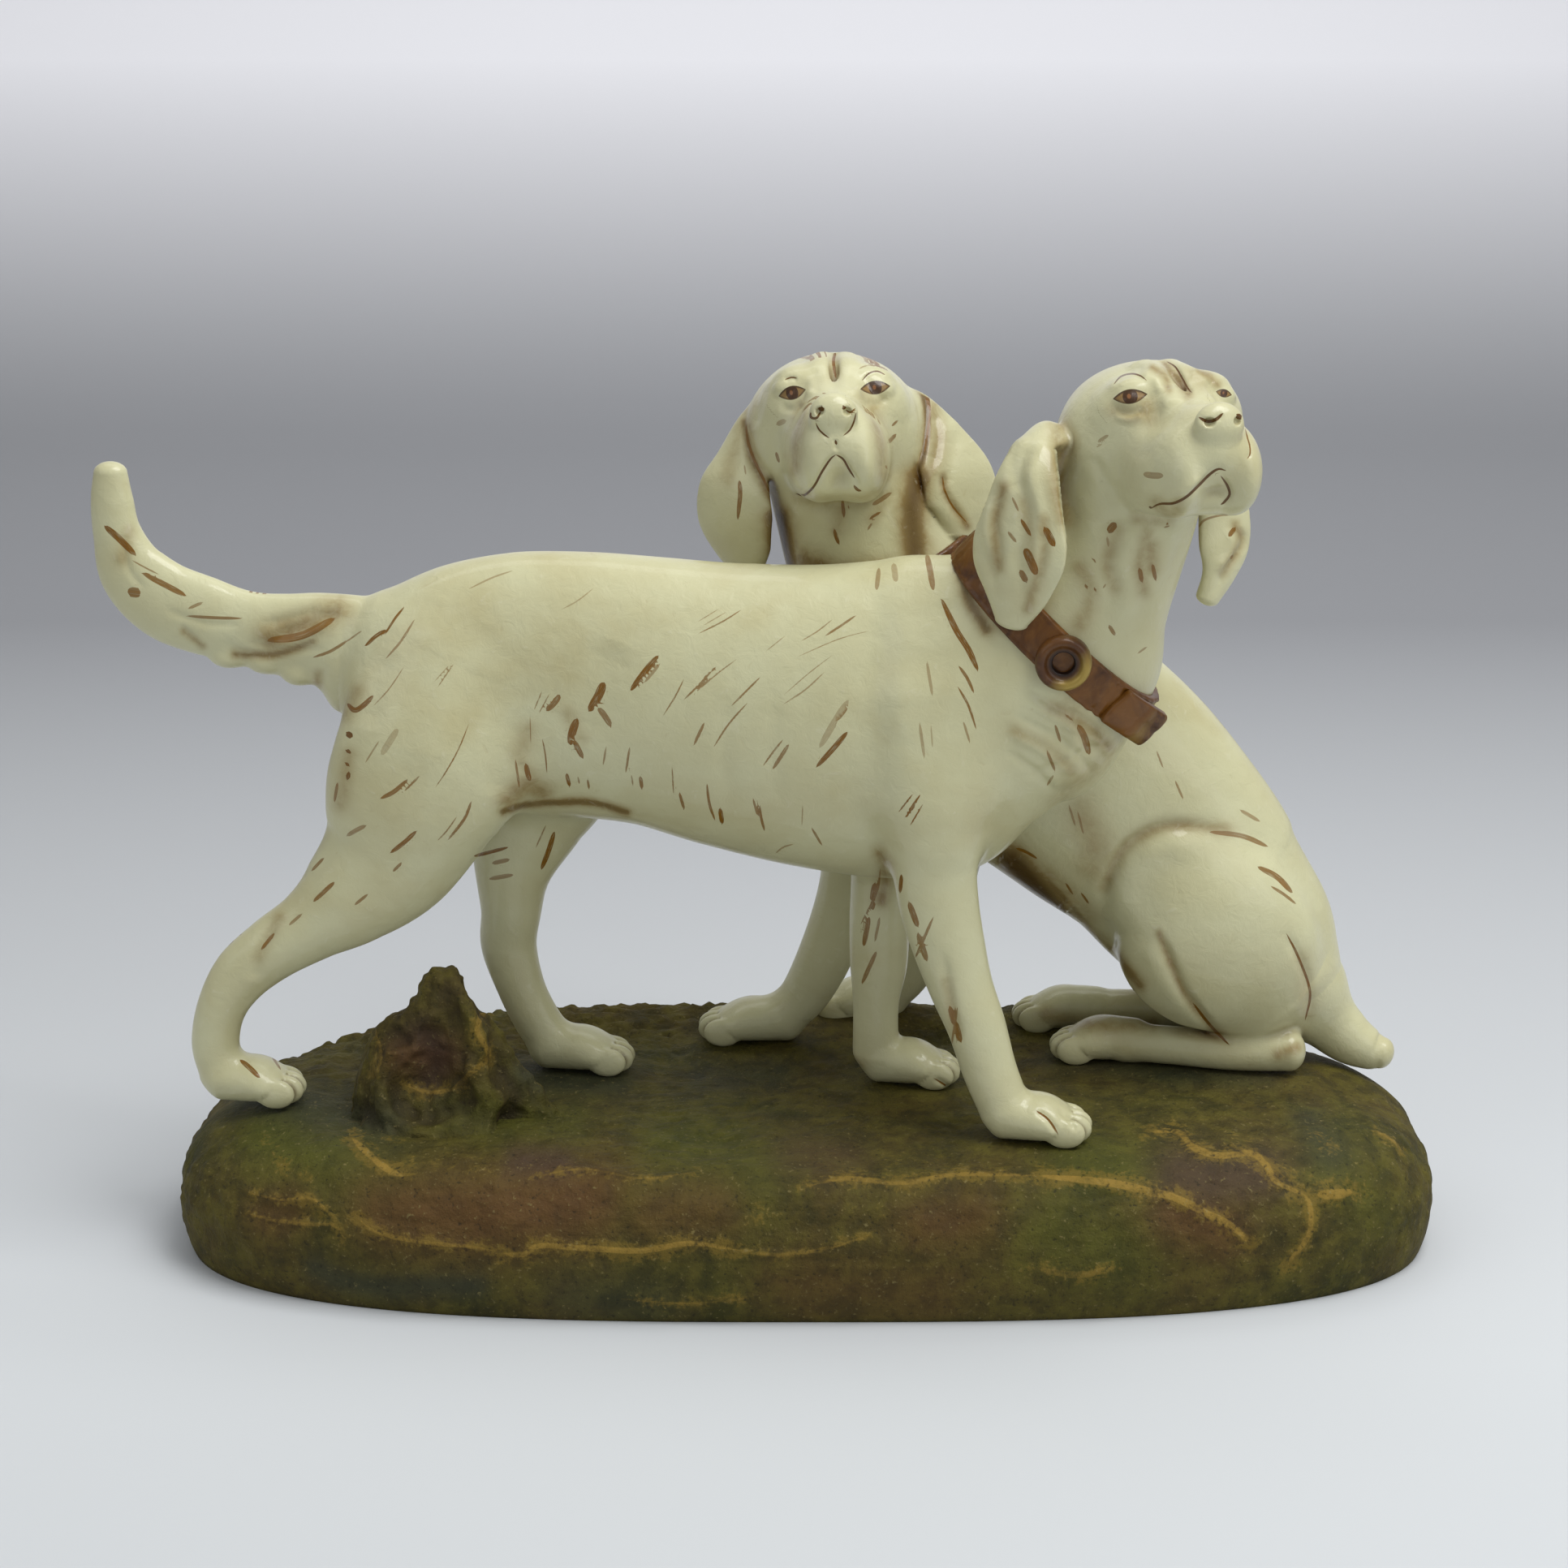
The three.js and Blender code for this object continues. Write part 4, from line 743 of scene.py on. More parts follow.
class Stroke:
    """A curve on a sheet: half width in mm, how strong or how deep it is, then the points that it passes."""

    def __init__(self, half, force, *places, side=1):
        self.half, self.force, self.side, self.places = half, force, side, places
        self.spline = Spline([(u, v, 0) for u, v in places])
        table = self.spline.at(np.linspace(0, self.spline.last, 30))[0]
        self.low, self.high = table.min(0), table.max(0)

    def meet(self, sheet, reach):
        """Which points lie within reach, how far across the stroke each is in mm, and its share along."""
        u, v, scale = sheet
        room = reach / scale.min()
        beside = (u > self.low[0] - room) & (u < self.high[0] + room)
        near = np.nonzero(beside & (v > self.low[1] - room) & (v < self.high[1] + room))[0]
        if len(near) == 0:
            return near, np.zeros(0), np.zeros(0)
        spots = np.stack([u[near], v[near], np.zeros(len(near))], 1)
        found = self.spline.nearest(spots)
        place, slope, _ = self.spline.at(found)
        q = spots - place
        sign = np.where(slope[:, 0] * q[:, 1] - slope[:, 1] * q[:, 0] < 0, -1, 1)
        across = sign * np.linalg.norm(q, axis=1) * scale[near]
        close = np.abs(across) < reach
        return near[close], across[close], (found / self.spline.last)[close]


def carve_depth(points, normals, strokes):
    """How far each point is pushed in: force · exp(-(across / half)²), faded at the ends of each stroke."""
    depth = np.zeros(len(points))
    for side in (1, -1):
        sheet, seen = on_sheet(points, side), facing(points, normals, side)
        for stroke in strokes:
            if stroke.side == side:
                near, across, share = stroke.meet(sheet, 2.6 * stroke.half)
                fade = np.clip(5 * share, 0, 1) * np.clip(5 * (1 - share), 0, 1)
                depth[near] += stroke.force * np.exp(-(across / stroke.half) ** 2) * fade * seen[near]
    return depth


NUDGE = 0.12  # mm to either side, to find the slope of the depth


def carve(points, normals, strokes):
    """Pushes the points in along their normals, and tilts the normals by the slope of the depth."""
    if not strokes:
        return points, normals
    depth = carve_depth(points, normals, strokes)
    near = np.nonzero(np.abs(depth) > 1e-4)[0]
    some, out = points[near], normals[near]
    first = unit(np.cross(out, np.where(np.abs(out[:, 2:]) < 0.8, [[0, 0, 1]], [[1, 0, 0]])))
    second = np.cross(out, first)
    tilted = out.copy()
    for direction in (first, second):
        ahead, behind = (carve_depth(some + sign * NUDGE * direction, out, strokes) for sign in (1, -1))
        tilted += direction * ((ahead - behind) / (2 * NUDGE))[:, None]
    points, normals = points.copy(), normals.copy()
    points[near] -= out * depth[near][:, None]
    normals[near] = unit(tilted)
    return points, normals


SHEET_UNIT = 0.24  # mm: about what one unit of the picture covers on the near side of the group


def paint(points, normals, strokes):
    """Where each point lies on its nearest stroke: across and along in mm, half width there, and force.

    Two strokes side by side take the same sign between them, so that no third one seems to lie there.
    The width narrows to a point at both ends, and to nought at the stroke's reach.
    """
    across, along = np.full(len(points), 9.0), np.zeros(len(points))
    width, force = np.full(len(points), -1.0), np.zeros(len(points))
    for side in (1, -1):
        sheet, seen = on_sheet(points, side), facing(points, normals, side) > 0.1
        for stroke in strokes:
            if stroke.side != side:
                continue
            reach = stroke.half + 1.3 * COARSE
            near, offset, share = stroke.meet(sheet, reach)
            between = np.abs(np.abs(offset) - np.abs(across[near])) < 0.5 * COARSE
            if (offset * across[near])[between].sum() < 0:
                offset = -offset
            wins = seen[near] & (np.abs(offset) < np.abs(across[near]))
            near, offset, share = near[wins], offset[wins], share[wins]
            leaf = np.sqrt(np.clip(5 * share * (1 - share), 0, 1))
            full = stroke.half * reach / (reach - stroke.half)
            across[near] = offset
            along[near] = sheet[1][near] * SHEET_UNIT
            width[near] = full * leaf * (1 - np.abs(offset) / reach)
            force[near] = stroke.force
    return across, along, width, force


def wash_and_shade(points, normals, strokes):
    """Soft patches of brown wash and of painted shade: the strongest of force · exp(-(across / half)²) over the
    strokes.
    """
    total = np.zeros(len(points))
    for side in (1, -1):
        sheet, seen = on_sheet(points, side), facing(points, normals, side)
        for stroke in strokes:
            if stroke.side == side:
                near, across, share = stroke.meet(sheet, 2.2 * stroke.half)
                some = stroke.force * np.exp(-(across / stroke.half) ** 2) * seen[near]
                total[near] = np.maximum(total[near], some)
    return total


FAR_FROM_EYE = 9.0


def eye_places(points, normals, eyes):
    """Where each point lies in the nearest eye: -1..1 along and -1..1 up, or FAR_FROM_EYE for both.

    An eye is an almond on the sheet: u, v, half length and half height in mm, and its tilt in degrees.
    """
    side_way, up_way = np.full(len(points), FAR_FROM_EYE), np.full(len(points), FAR_FROM_EYE)
    (u, v, scale), seen = on_sheet(points, 1), facing(points, normals, 1) > 0.05
    for middle_u, middle_v, length, height, tilt in eyes:
        right, up = (u - middle_u) * scale, (middle_v - v) * scale
        c, s = math.cos(math.radians(tilt)), math.sin(math.radians(tilt))
        near = seen & (np.hypot(right, up) < 2 * length)
        side_way[near] = ((right * c + up * s) / length)[near]
        up_way[near] = ((up * c - right * s) / height)[near]
    return side_way, up_way

# %% [markdown]
# ## The painter's and the carver's lines
# Carved lines give the lids, the lips, the folds of the ears and the hollows of the trunk. Painted strokes
# are burnt sienna laid on in short flicks that follow the lie of the coat, with darker, finer lines on the
# face. A row is one stroke: its half width in millimetres, its force, then places on the sheet, u across and
# v down. A carved line with a force below nought is a ridge.

# %% Lines of both hounds
STANDING_EYES = [(1392.5, 488.5, 4.9, 2.1, 8), (1508, 484.5, 2.3, 1.2, -12)]
SEATED_EYES = [(976, 484, 4.2, 2.1, 14), (1078.5, 477.5, 4.5, 2.1, 6)]

DARK = 1.9  # force above 1 turns the sienna into umber


def traced(*rows):
    """Strokes from rows of half width in mm, force, then u and v of each point."""
    return [Stroke(half, force, *zip(path[::2], path[1::2])) for half, force, *path in rows]


STANDING_PAINT = traced(
    # brows, nose and mouth
    (0.28, DARK, 1372, 474, 1381, 464, 1394, 460.5, 1405, 463, 1413, 469),
    (0.3, DARK, 1437, 445, 1448, 452, 1456, 465, 1464, 479, 1469, 484),
    (0.5, DARK, 1477, 514, 1487, 519, 1498, 517, 1507, 509), (0.8, DARK, 1524, 511, 1529, 516),
    (0.25, 1.2, 1534, 527, 1537, 539, 1540, 550, 1540, 560, 1536, 566),
    (0.42, DARK, 1417, 627, 1429, 621, 1446, 620, 1462, 612, 1477, 598, 1490, 585, 1501, 578, 1511, 580),
    (0.4, DARK, 1504, 586, 1512, 598, 1515, 609, 1509, 618, 1504, 622), (0.7, DARK, 1417, 627, 1419, 625),
    # cheek and neck
    (0.5, 0.5, 1353, 544, 1366, 536), (0.3, 0.4, 1351, 551, 1358, 547),
    (0.9, 0.6, 1409, 584, 1421, 586, 1433, 586), (1.1, 0.9, 1366, 656, 1370, 650, 1375, 645),
    (0.4, 0.5, 1364, 661, 1366, 674), (0.4, 0.9, 1437, 645, 1440, 645.5), (0.4, 0.8, 1346, 688, 1350, 693),
    (0.5, 0.8, 1337, 719, 1340, 726), (0.4, 0.8, 1348, 723, 1351, 730), (0.3, 0.6, 1363, 719, 1359, 725),
    (0.6, 0.8, 1366, 770, 1374, 783), (0.35, 0.6, 1402, 805, 1413, 797),
    # throat
    (0.7, 0.9, 1404, 700, 1407, 717), (0.6, 0.9, 1420, 695, 1424, 715), (0.35, 0.7, 1434, 650, 1441, 648),
    (0.4, 0.7, 1477, 650, 1484, 641, 1503, 635, 1514, 635), (0.7, 1.0, 1514, 661, 1522, 650),
    (0.4, 0.8, 1516, 689, 1519, 684),
    # near ear
    (0.6, 1.0, 1258, 640, 1264, 650, 1270, 660), (1.0, 1.0, 1287, 650, 1293, 661, 1299, 673),
    (1.2, 1.0, 1263, 676, 1270, 691, 1277, 708), (0.9, 0.9, 1257, 703, 1265, 717),
    (0.4, 0.7, 1247, 612, 1255, 630), (0.5, 0.7, 1242, 655, 1252, 668),
    # chest
    (0.5, 0.8, 1300, 893, 1307, 915), (1.0, 0.9, 1328, 893, 1336, 908, 1342, 930),
    (0.5, 0.8, 1290, 925, 1300, 950), (0.4, 0.7, 1290, 968, 1298, 955), (0.4, 0.7, 1312, 880, 1322, 888),
    (0.4, 0.6, 1405, 912, 1408, 935),
    # flank
    (0.9, 1.1, 811, 808, 795, 827, 777, 851), (0.5, 0.6, 813, 818, 794, 841),
    (1.3, 1.1, 744, 841, 737, 858, 726, 876), (0.9, 0.8, 737, 872, 745, 882, 753, 895),
    (1.2, 1.1, 711, 886, 705, 903, 703, 918), (0.8, 0.9, 707, 912, 718, 934), (0.25, 0.8, 668, 851, 658, 875),
    (0.25, 0.8, 677, 855, 664, 879), (0.9, 0.9, 690, 856, 683, 866, 673, 876),
    (0.28, 0.9, 578, 891, 565, 923, 550, 950, 536, 971),
    # thigh
    (0.5, 0.9, 581, 987, 572, 1009, 552, 1035), (0.3, 0.8, 563, 1006, 551, 1023, 539, 1036),
    (0.7, 0.9, 502, 961, 486, 975, 469, 984), (0.4, 0.8, 517, 956, 498, 975),
    (0.7, 1.0, 513, 1024, 498, 1038, 481, 1051), (0.5, 0.8, 495, 1063, 484, 1074),
    (0.7, 0.7, 451, 1017, 439, 1023, 427, 1030), (0.3, 0.6, 467, 913, 450, 940),
    (1.0, 0.35, 490, 898, 470, 930),
    # buttock and root of the tail
    (0.9, 1.5, 427, 903, 434, 908), (0.6, 1.4, 427, 924, 432, 928), (0.5, 1.2, 426, 940, 430, 944),
    (0.7, 1.4, 430, 952, 428, 960), (0.5, 0.8, 416, 964, 412, 988),
    (0.8, 1.1, 428, 867, 437, 875, 448, 869, 460, 857), (0.6, 1.1, 450, 796, 463, 784, 476, 776),
    (0.4, 1.0, 474, 782, 486, 763, 498, 748), (0.4, 0.7, 511, 763, 494, 790, 475, 812),
    (0.25, 0.7, 498, 821, 480, 848, 460, 870), (0.5, 0.8, 430, 788, 408, 802, 386, 810),
    (0.3, 0.7, 446, 777, 425, 792), (0.25, 0.7, 559, 818, 539, 847), (0.2, 0.6, 553, 820, 535, 840),
    # back
    (0.25, 0.5, 731, 725, 712, 740, 692, 751), (0.3, 0.5, 632, 703, 606, 712, 577, 726),
    # belly
    (0.3, 0.9, 668, 910, 672, 930, 674, 953), (0.25, 0.7, 653, 882, 654, 917), (0.4, 0.8, 635, 936, 640, 971),
    (0.8, 1.0, 648, 941, 650, 952, 653, 962), (0.6, 1.0, 698, 953, 702, 969), (0.3, 0.8, 712, 957, 714, 966),
    (0.4, 0.8, 724, 960, 726, 973), (0.35, 0.7, 747, 920, 743, 943), (0.4, 0.8, 776, 920, 771, 952),
    (0.3, 0.7, 778, 955, 780, 968), (0.6, 0.9, 789, 956, 791, 972), (0.3, 0.8, 828, 945, 830, 978),
    (0.5, 0.9, 837, 977, 843, 997), (0.5, 0.8, 868, 890, 855, 918),
    # ribs
    (0.3, 0.8, 843, 836, 832, 858, 817, 882), (0.35, 0.8, 877, 827, 860, 845, 842, 863),
    (0.28, 0.8, 914, 751, 890, 766, 860, 781), (0.2, 0.6, 886, 750, 860, 766), (0.2, 0.6, 895, 754, 866, 771),
    (0.25, 0.7, 1026, 763, 1007, 778, 987, 790), (0.4, 0.8, 1055, 758, 1036, 771, 1016, 784),
    (0.2, 0.7, 1072, 777, 1032, 788, 981, 810), (0.2, 0.6, 968, 783, 943, 803),
    (0.22, 0.6, 1026, 807, 996, 830, 965, 857), (0.3, 0.6, 1016, 828, 992, 850, 965, 868),
    (0.35, 0.8, 937, 834, 920, 851, 901, 870), (0.35, 0.8, 921, 866, 898, 892, 879, 921),
    (0.25, 0.7, 908, 812, 884, 830, 860, 851), (0.5, 0.8, 882, 822, 871, 833, 860, 847),
    (0.35, 0.8, 965, 911, 953, 926, 940, 944), (0.6, 0.8, 972, 917, 963, 931, 952, 948),
    (1.0, 0.4, 1045, 863, 1028, 890, 1010, 921), (0.8, 1.1, 1044, 902, 1027, 922, 1006, 945),
    (0.4, 0.8, 1044, 873, 1032, 888),
    # elbow
    (0.3, 1.1, 1125, 978, 1107, 1001), (0.4, 1.1, 1134, 979, 1115, 1007), (0.3, 1.0, 1137, 991, 1121, 1018),
    (0.3, 1.0, 1128, 992, 1114, 1010),
    # underline
    (0.45, 0.9, 871, 965, 874, 990, 881, 1011), (0.7, 1.0, 887, 996, 890, 1015),
    (0.4, 0.8, 928, 984, 933, 1004), (0.45, 0.9, 936, 993, 938, 1008, 942, 1024),
    (0.25, 0.6, 989, 992, 988, 1018), (0.4, 0.8, 1000, 1020, 1013, 1042),
    (0.3, 0.6, 955, 1052, 965, 1044, 978, 1040),
    # withers and shoulder
    (0.9, 0.8, 1142, 683, 1146, 703, 1150, 727), (0.7, 0.6, 1083, 700, 1080, 727),
    (0.9, 0.45, 1101, 694, 1104, 717), (0.9, 1.0, 1160, 738, 1178, 776, 1193, 800, 1205, 826),
    (0.5, 0.9, 1181, 820, 1192, 836, 1200, 854), (0.4, 0.9, 1180, 846, 1193, 869, 1203, 899),
    (0.4, 0.6, 1187, 889, 1195, 915), (0.5, 0.5, 1142, 815, 1149, 858), (0.5, 0.5, 1133, 891, 1139, 934),
    (0.3, 0.4, 1147, 893, 1149, 922),
    # forelegs
    (0.6, 1.1, 1111, 1077, 1109, 1100), (1.0, 0.9, 1078, 1088, 1074, 1122),
    (0.8, 0.9, 1071, 1130, 1064, 1166), (0.7, 0.8, 1080, 1172, 1062, 1212),
    (0.9, 0.9, 1120, 1112, 1131, 1142), (0.9, 0.8, 1131, 1150, 1142, 1184),
    (1.0, 0.9, 1170, 1240, 1184, 1284), (0.5, 0.7, 1084, 1130, 1078, 1160),
    (0.4, 0.8, 1085, 1070, 1080, 1100, 1060, 1140), (0.5, 0.8, 1150, 1130, 1128, 1180),
    (0.4, 0.7, 1180, 1240, 1172, 1290),
    # hind legs
    (0.8, 1.0, 683, 1025, 676, 1048, 667, 1071), (0.3, 0.7, 673, 1016, 660, 1045),
    (0.6, 1.0, 584, 1055, 604, 1050, 626, 1044), (0.7, 0.7, 606, 1064, 628, 1059),
    (0.7, 0.7, 603, 1083, 632, 1078), (0.7, 0.9, 412, 1087, 400, 1098, 386, 1111),
    (0.5, 0.8, 453, 1102, 437, 1115), (0.5, 0.8, 399, 1057, 384, 1073), (0.6, 0.9, 338, 1150, 322, 1170),
    (0.5, 0.7, 372, 1126, 356, 1140),
    # paws
    (0.4, 1.2, 1276, 1368, 1292, 1380, 1304, 1398), (0.35, 1.0, 1150, 1328, 1168, 1340, 1180, 1356),
    (0.8, 1.0, 296, 1306, 308, 1316, 320, 1328), (0.4, 0.8, 334, 1300, 346, 1318),
    # tail
    (1.0, 1.1, 129, 648, 148, 665, 167, 684), (1.5, 0.9, 158, 729, 173, 731),
    (0.9, 0.9, 176, 706, 202, 720, 229, 734), (0.5, 0.8, 298, 762, 262, 761, 230, 759),
    (0.3, 0.7, 162, 690, 180, 700, 196, 708), (1.2, 0.9, 330, 789, 372, 783, 412, 762),
    (0.5, 0.7, 250, 742, 232, 750))
SEATED_PAINT = traced(
    # forehead and brows
    (0.5, 1.2, 1030, 431, 1027, 446, 1030, 466), (0.28, 1.6, 967, 468, 975, 465, 982, 466),
    (0.28, DARK, 1062, 469, 1071, 460, 1081, 457.5, 1091, 462), (0.25, 0.5, 1058, 455, 1063, 452, 1070, 450),
    # nose and mouth
    (0.9, DARK, 1012, 501, 1012, 507), (0.4, DARK, 1012, 506, 1006, 515, 999, 514, 999, 508),
    (0.7, 1.8, 1039, 501, 1041, 504), (0.3, 1.4, 1042, 505, 1048, 508, 1054, 503),
    (0.3, DARK, 1005, 521, 1009, 529, 1015, 535, 1022, 540),
    (0.3, DARK, 1055, 508, 1052, 520, 1047, 530, 1039, 537), (0.4, DARK, 1029.5, 542, 1030.5, 548),
    (0.38, DARK, 981, 608, 987, 610, 993, 609, 1003, 599, 1013, 581, 1023, 566, 1030, 560),
    (0.35, DARK, 1030, 560, 1039, 566, 1046, 578, 1053, 589), (0.45, 1.5, 1052, 598, 1056, 603, 1061, 605),
    # cheeks and throat
    (0.8, 0.5, 957, 523, 968, 518), (0.5, 0.8, 956, 557, 960, 570), (0.4, 0.8, 1099, 525, 1106, 518),
    (0.6, 0.8, 1094, 546, 1104, 535), (0.3, 0.7, 1091, 573, 1093, 578), (0.6, 0.9, 1038, 616, 1040, 637),
    (0.3, 0.7, 1045, 622, 1046, 628), (0.6, 1.0, 1028, 652, 1030, 661, 1034, 671),
    (0.5, 0.9, 1085, 631, 1078, 635, 1071, 640), (0.4, 0.7, 1074, 645, 1069, 653),
    (0.7, 0.7, 1098, 607, 1085, 616, 1075, 622),
    # ears
    (0.7, 0.9, 911, 592, 912, 609, 909, 640), (0.3, 0.6, 917, 573, 919, 585),
    (0.5, 0.9, 919, 523, 922, 545, 929, 566, 939, 587, 950, 610), (0.6, 1.4, 1128, 468, 1141, 486, 1146, 507),
    (0.4, 0.9, 1146, 507, 1143, 532, 1139, 558), (0.35, 1.0, 1161, 586, 1164, 604, 1174, 624, 1192, 645),
    # haunch and loin
    (0.8, 0.8, 1491, 1025, 1530, 1030, 1562, 1043), (0.9, 0.9, 1550, 1068, 1574, 1081, 1592, 1100),
    (0.5, 0.8, 1566, 1092, 1582, 1102, 1597, 1114), (0.6, 0.6, 1528, 998, 1552, 1012),
    # chest and belly
    (0.35, 0.7, 1425, 925, 1433, 946), (0.4, 0.6, 1317, 992, 1325, 1018), (0.4, 0.6, 1328, 1000, 1335, 1028),
    (0.4, 0.7, 1448, 962, 1458, 985), (0.4, 0.9, 1313, 1088, 1322, 1102), (0.4, 0.9, 1332, 1100, 1342, 1114),
    (0.5, 1.0, 1252, 1045, 1265, 1050, 1278, 1058),
    # creases of the thigh
    (0.45, 1.3, 1585, 1150, 1600, 1180, 1614, 1222, 1608, 1258),
    (0.5, 1.4, 1470, 1236, 1490, 1262, 1515, 1288))
STANDING_CUTS = traced(
    # brows, nose and mouth
    (0.7, 0.45, 1372, 475, 1381, 466, 1394, 462, 1405, 465, 1413, 471),
    (0.9, 0.5, 1437, 445, 1448, 452, 1456, 465, 1464, 479, 1469, 484),
    (0.8, 0.6, 1477, 514, 1487, 519, 1498, 517, 1507, 509),
    (0.7, 0.4, 1534, 527, 1537, 539, 1540, 550, 1540, 560, 1536, 566),
    (0.8, 0.6, 1414, 628, 1429, 621, 1446, 620, 1462, 612, 1477, 598, 1490, 585, 1501, 578, 1511, 580),
    (0.8, 0.5, 1504, 582, 1512, 598, 1515, 609, 1509, 618, 1503, 624),
    (1.4, -0.5, 1420, 612, 1446, 611, 1466, 601, 1486, 578),
    (2.6, 0.7, 1398, 628, 1412, 637, 1430, 636, 1460, 644),
    # behind the cheek
    (2.5, 0.8, 1300, 519, 1304, 550, 1304, 583, 1311, 615, 1321, 640, 1305, 700),
    (3.0, 0.5, 1412, 500, 1420, 515, 1410, 545, 1402, 585),
    (2.0, -0.5, 1385, 452, 1404, 448, 1424, 455, 1436, 470),
    # near ear
    (1.6, 0.5, 1258, 530, 1246, 560, 1248, 590, 1256, 606), (1.5, 0.5, 1208, 660, 1218, 700, 1232, 745),
    (2.0, -0.5, 1270, 560, 1262, 620, 1240, 680), (1.4, 0.6, 1290, 640, 1280, 700, 1255, 755),
    # shoulder, ribs and flank
    (6.0, 1.2, 1092, 720, 1078, 800, 1074, 880, 1080, 960, 1086, 1040),
    (5.0, -0.7, 1130, 760, 1110, 840, 1112, 920), (7.0, 0.9, 760, 790, 735, 850, 715, 920),
    (5.0, 0.6, 640, 870, 620, 940, 610, 985), (6.0, -0.6, 560, 800, 540, 880, 520, 960),
    (4.0, 0.5, 480, 800, 460, 850, 450, 900), (3.0, 0.4, 900, 850, 890, 930, 905, 1000),
    (3.0, 0.35, 960, 850, 950, 930, 965, 1000),
    # withers and chest
    (3.5, 0.5, 1160, 738, 1178, 776, 1205, 826), (2.0, 0.5, 1300, 893, 1310, 920, 1300, 950),
    (2.0, 0.5, 1328, 893, 1338, 910, 1342, 932), (2.0, -0.5, 1314, 890, 1324, 915, 1318, 945),
    (1.2, 0.5, 1255, 960, 1320, 935, 1390, 900),
    # hock and tail
    (2.2, 0.7, 340, 1128, 318, 1180, 312, 1210), (2.5, 0.6, 430, 1020, 400, 1060, 372, 1090),
    (2.2, 0.8, 420, 752, 380, 765, 335, 785), (1.2, 0.5, 300, 770, 250, 768, 200, 750),
    (1.2, 0.5, 405, 800, 350, 800, 300, 790), (1.2, 0.4, 150, 660, 158, 700, 180, 728),
    # throat
    (2.4, 0.7, 1345, 655, 1375, 640, 1400, 636), (2.2, 0.5, 1455, 650, 1448, 700, 1425, 740),
    # folds of the ears
    (1.9, 0.9, 1272, 532, 1256, 580, 1264, 630, 1254, 680, 1262, 740),
    (1.9, -0.8, 1286, 540, 1274, 590, 1282, 636, 1276, 690, 1262, 765),
    (1.3, 0.7, 1236, 600, 1226, 640, 1232, 680, 1222, 720), (1.4, -0.6, 1222, 610, 1214, 650, 1218, 690),
    (1.2, 0.8, 1528, 648, 1532, 670, 1512, 700, 1496, 735), (1.3, -0.6, 1514, 650, 1516, 680, 1498, 705),
    # folds of the throat
    (2.4, 0.6, 1380, 655, 1364, 690, 1372, 726, 1350, 765),
    (2.6, -0.6, 1398, 652, 1384, 690, 1392, 730, 1374, 780),
    (2.2, 0.6, 1416, 655, 1404, 695, 1412, 735, 1396, 785),
    # locks under the collar
    (1.5, 0.9, 1262, 846, 1300, 868, 1340, 890, 1372, 914),
    (1.6, -0.8, 1256, 860, 1300, 884, 1350, 912, 1370, 934),
    (1.4, 0.8, 1246, 880, 1288, 902, 1326, 928, 1346, 956), (1.5, -0.7, 1240, 902, 1284, 926, 1322, 956),
    (1.3, 0.7, 1240, 925, 1275, 950, 1300, 978), (1.3, 0.7, 1352, 940, 1336, 965, 1306, 984),
    # forehead and cheek
    (2.0, 0.7, 1420, 452, 1436, 462, 1440, 480), (1.6, -0.6, 1404, 460, 1424, 470, 1432, 486),
    (1.6, -0.5, 1466, 456, 1480, 462, 1490, 474), (1.2, 0.5, 1374, 506, 1392, 510, 1410, 504),
    (1.2, -0.5, 1372, 512, 1392, 517, 1412, 511), (1.6, 0.5, 1346, 560, 1362, 590, 1384, 612),
    # legs and paws
    (1.8, 0.8, 1160, 1170, 1170, 1230, 1182, 1290), (2.2, 0.6, 1222, 1130, 1236, 1200, 1262, 1290),
    (1.0, 0.8, 1276, 1368, 1292, 1380, 1304, 1398), (0.9, 0.6, 1304, 1366, 1318, 1380, 1326, 1394),
    (1.0, 0.7, 1150, 1328, 1168, 1340, 1180, 1356),
    # hair under the tail
    (1.6, 0.7, 320, 772, 360, 760, 398, 748), (1.4, -0.7, 330, 800, 372, 786, 410, 764),
    (1.2, 0.7, 270, 790, 310, 806, 360, 806), (1.1, 0.6, 220, 770, 246, 792),
    (1.1, 0.6, 402, 818, 392, 850, 388, 880))
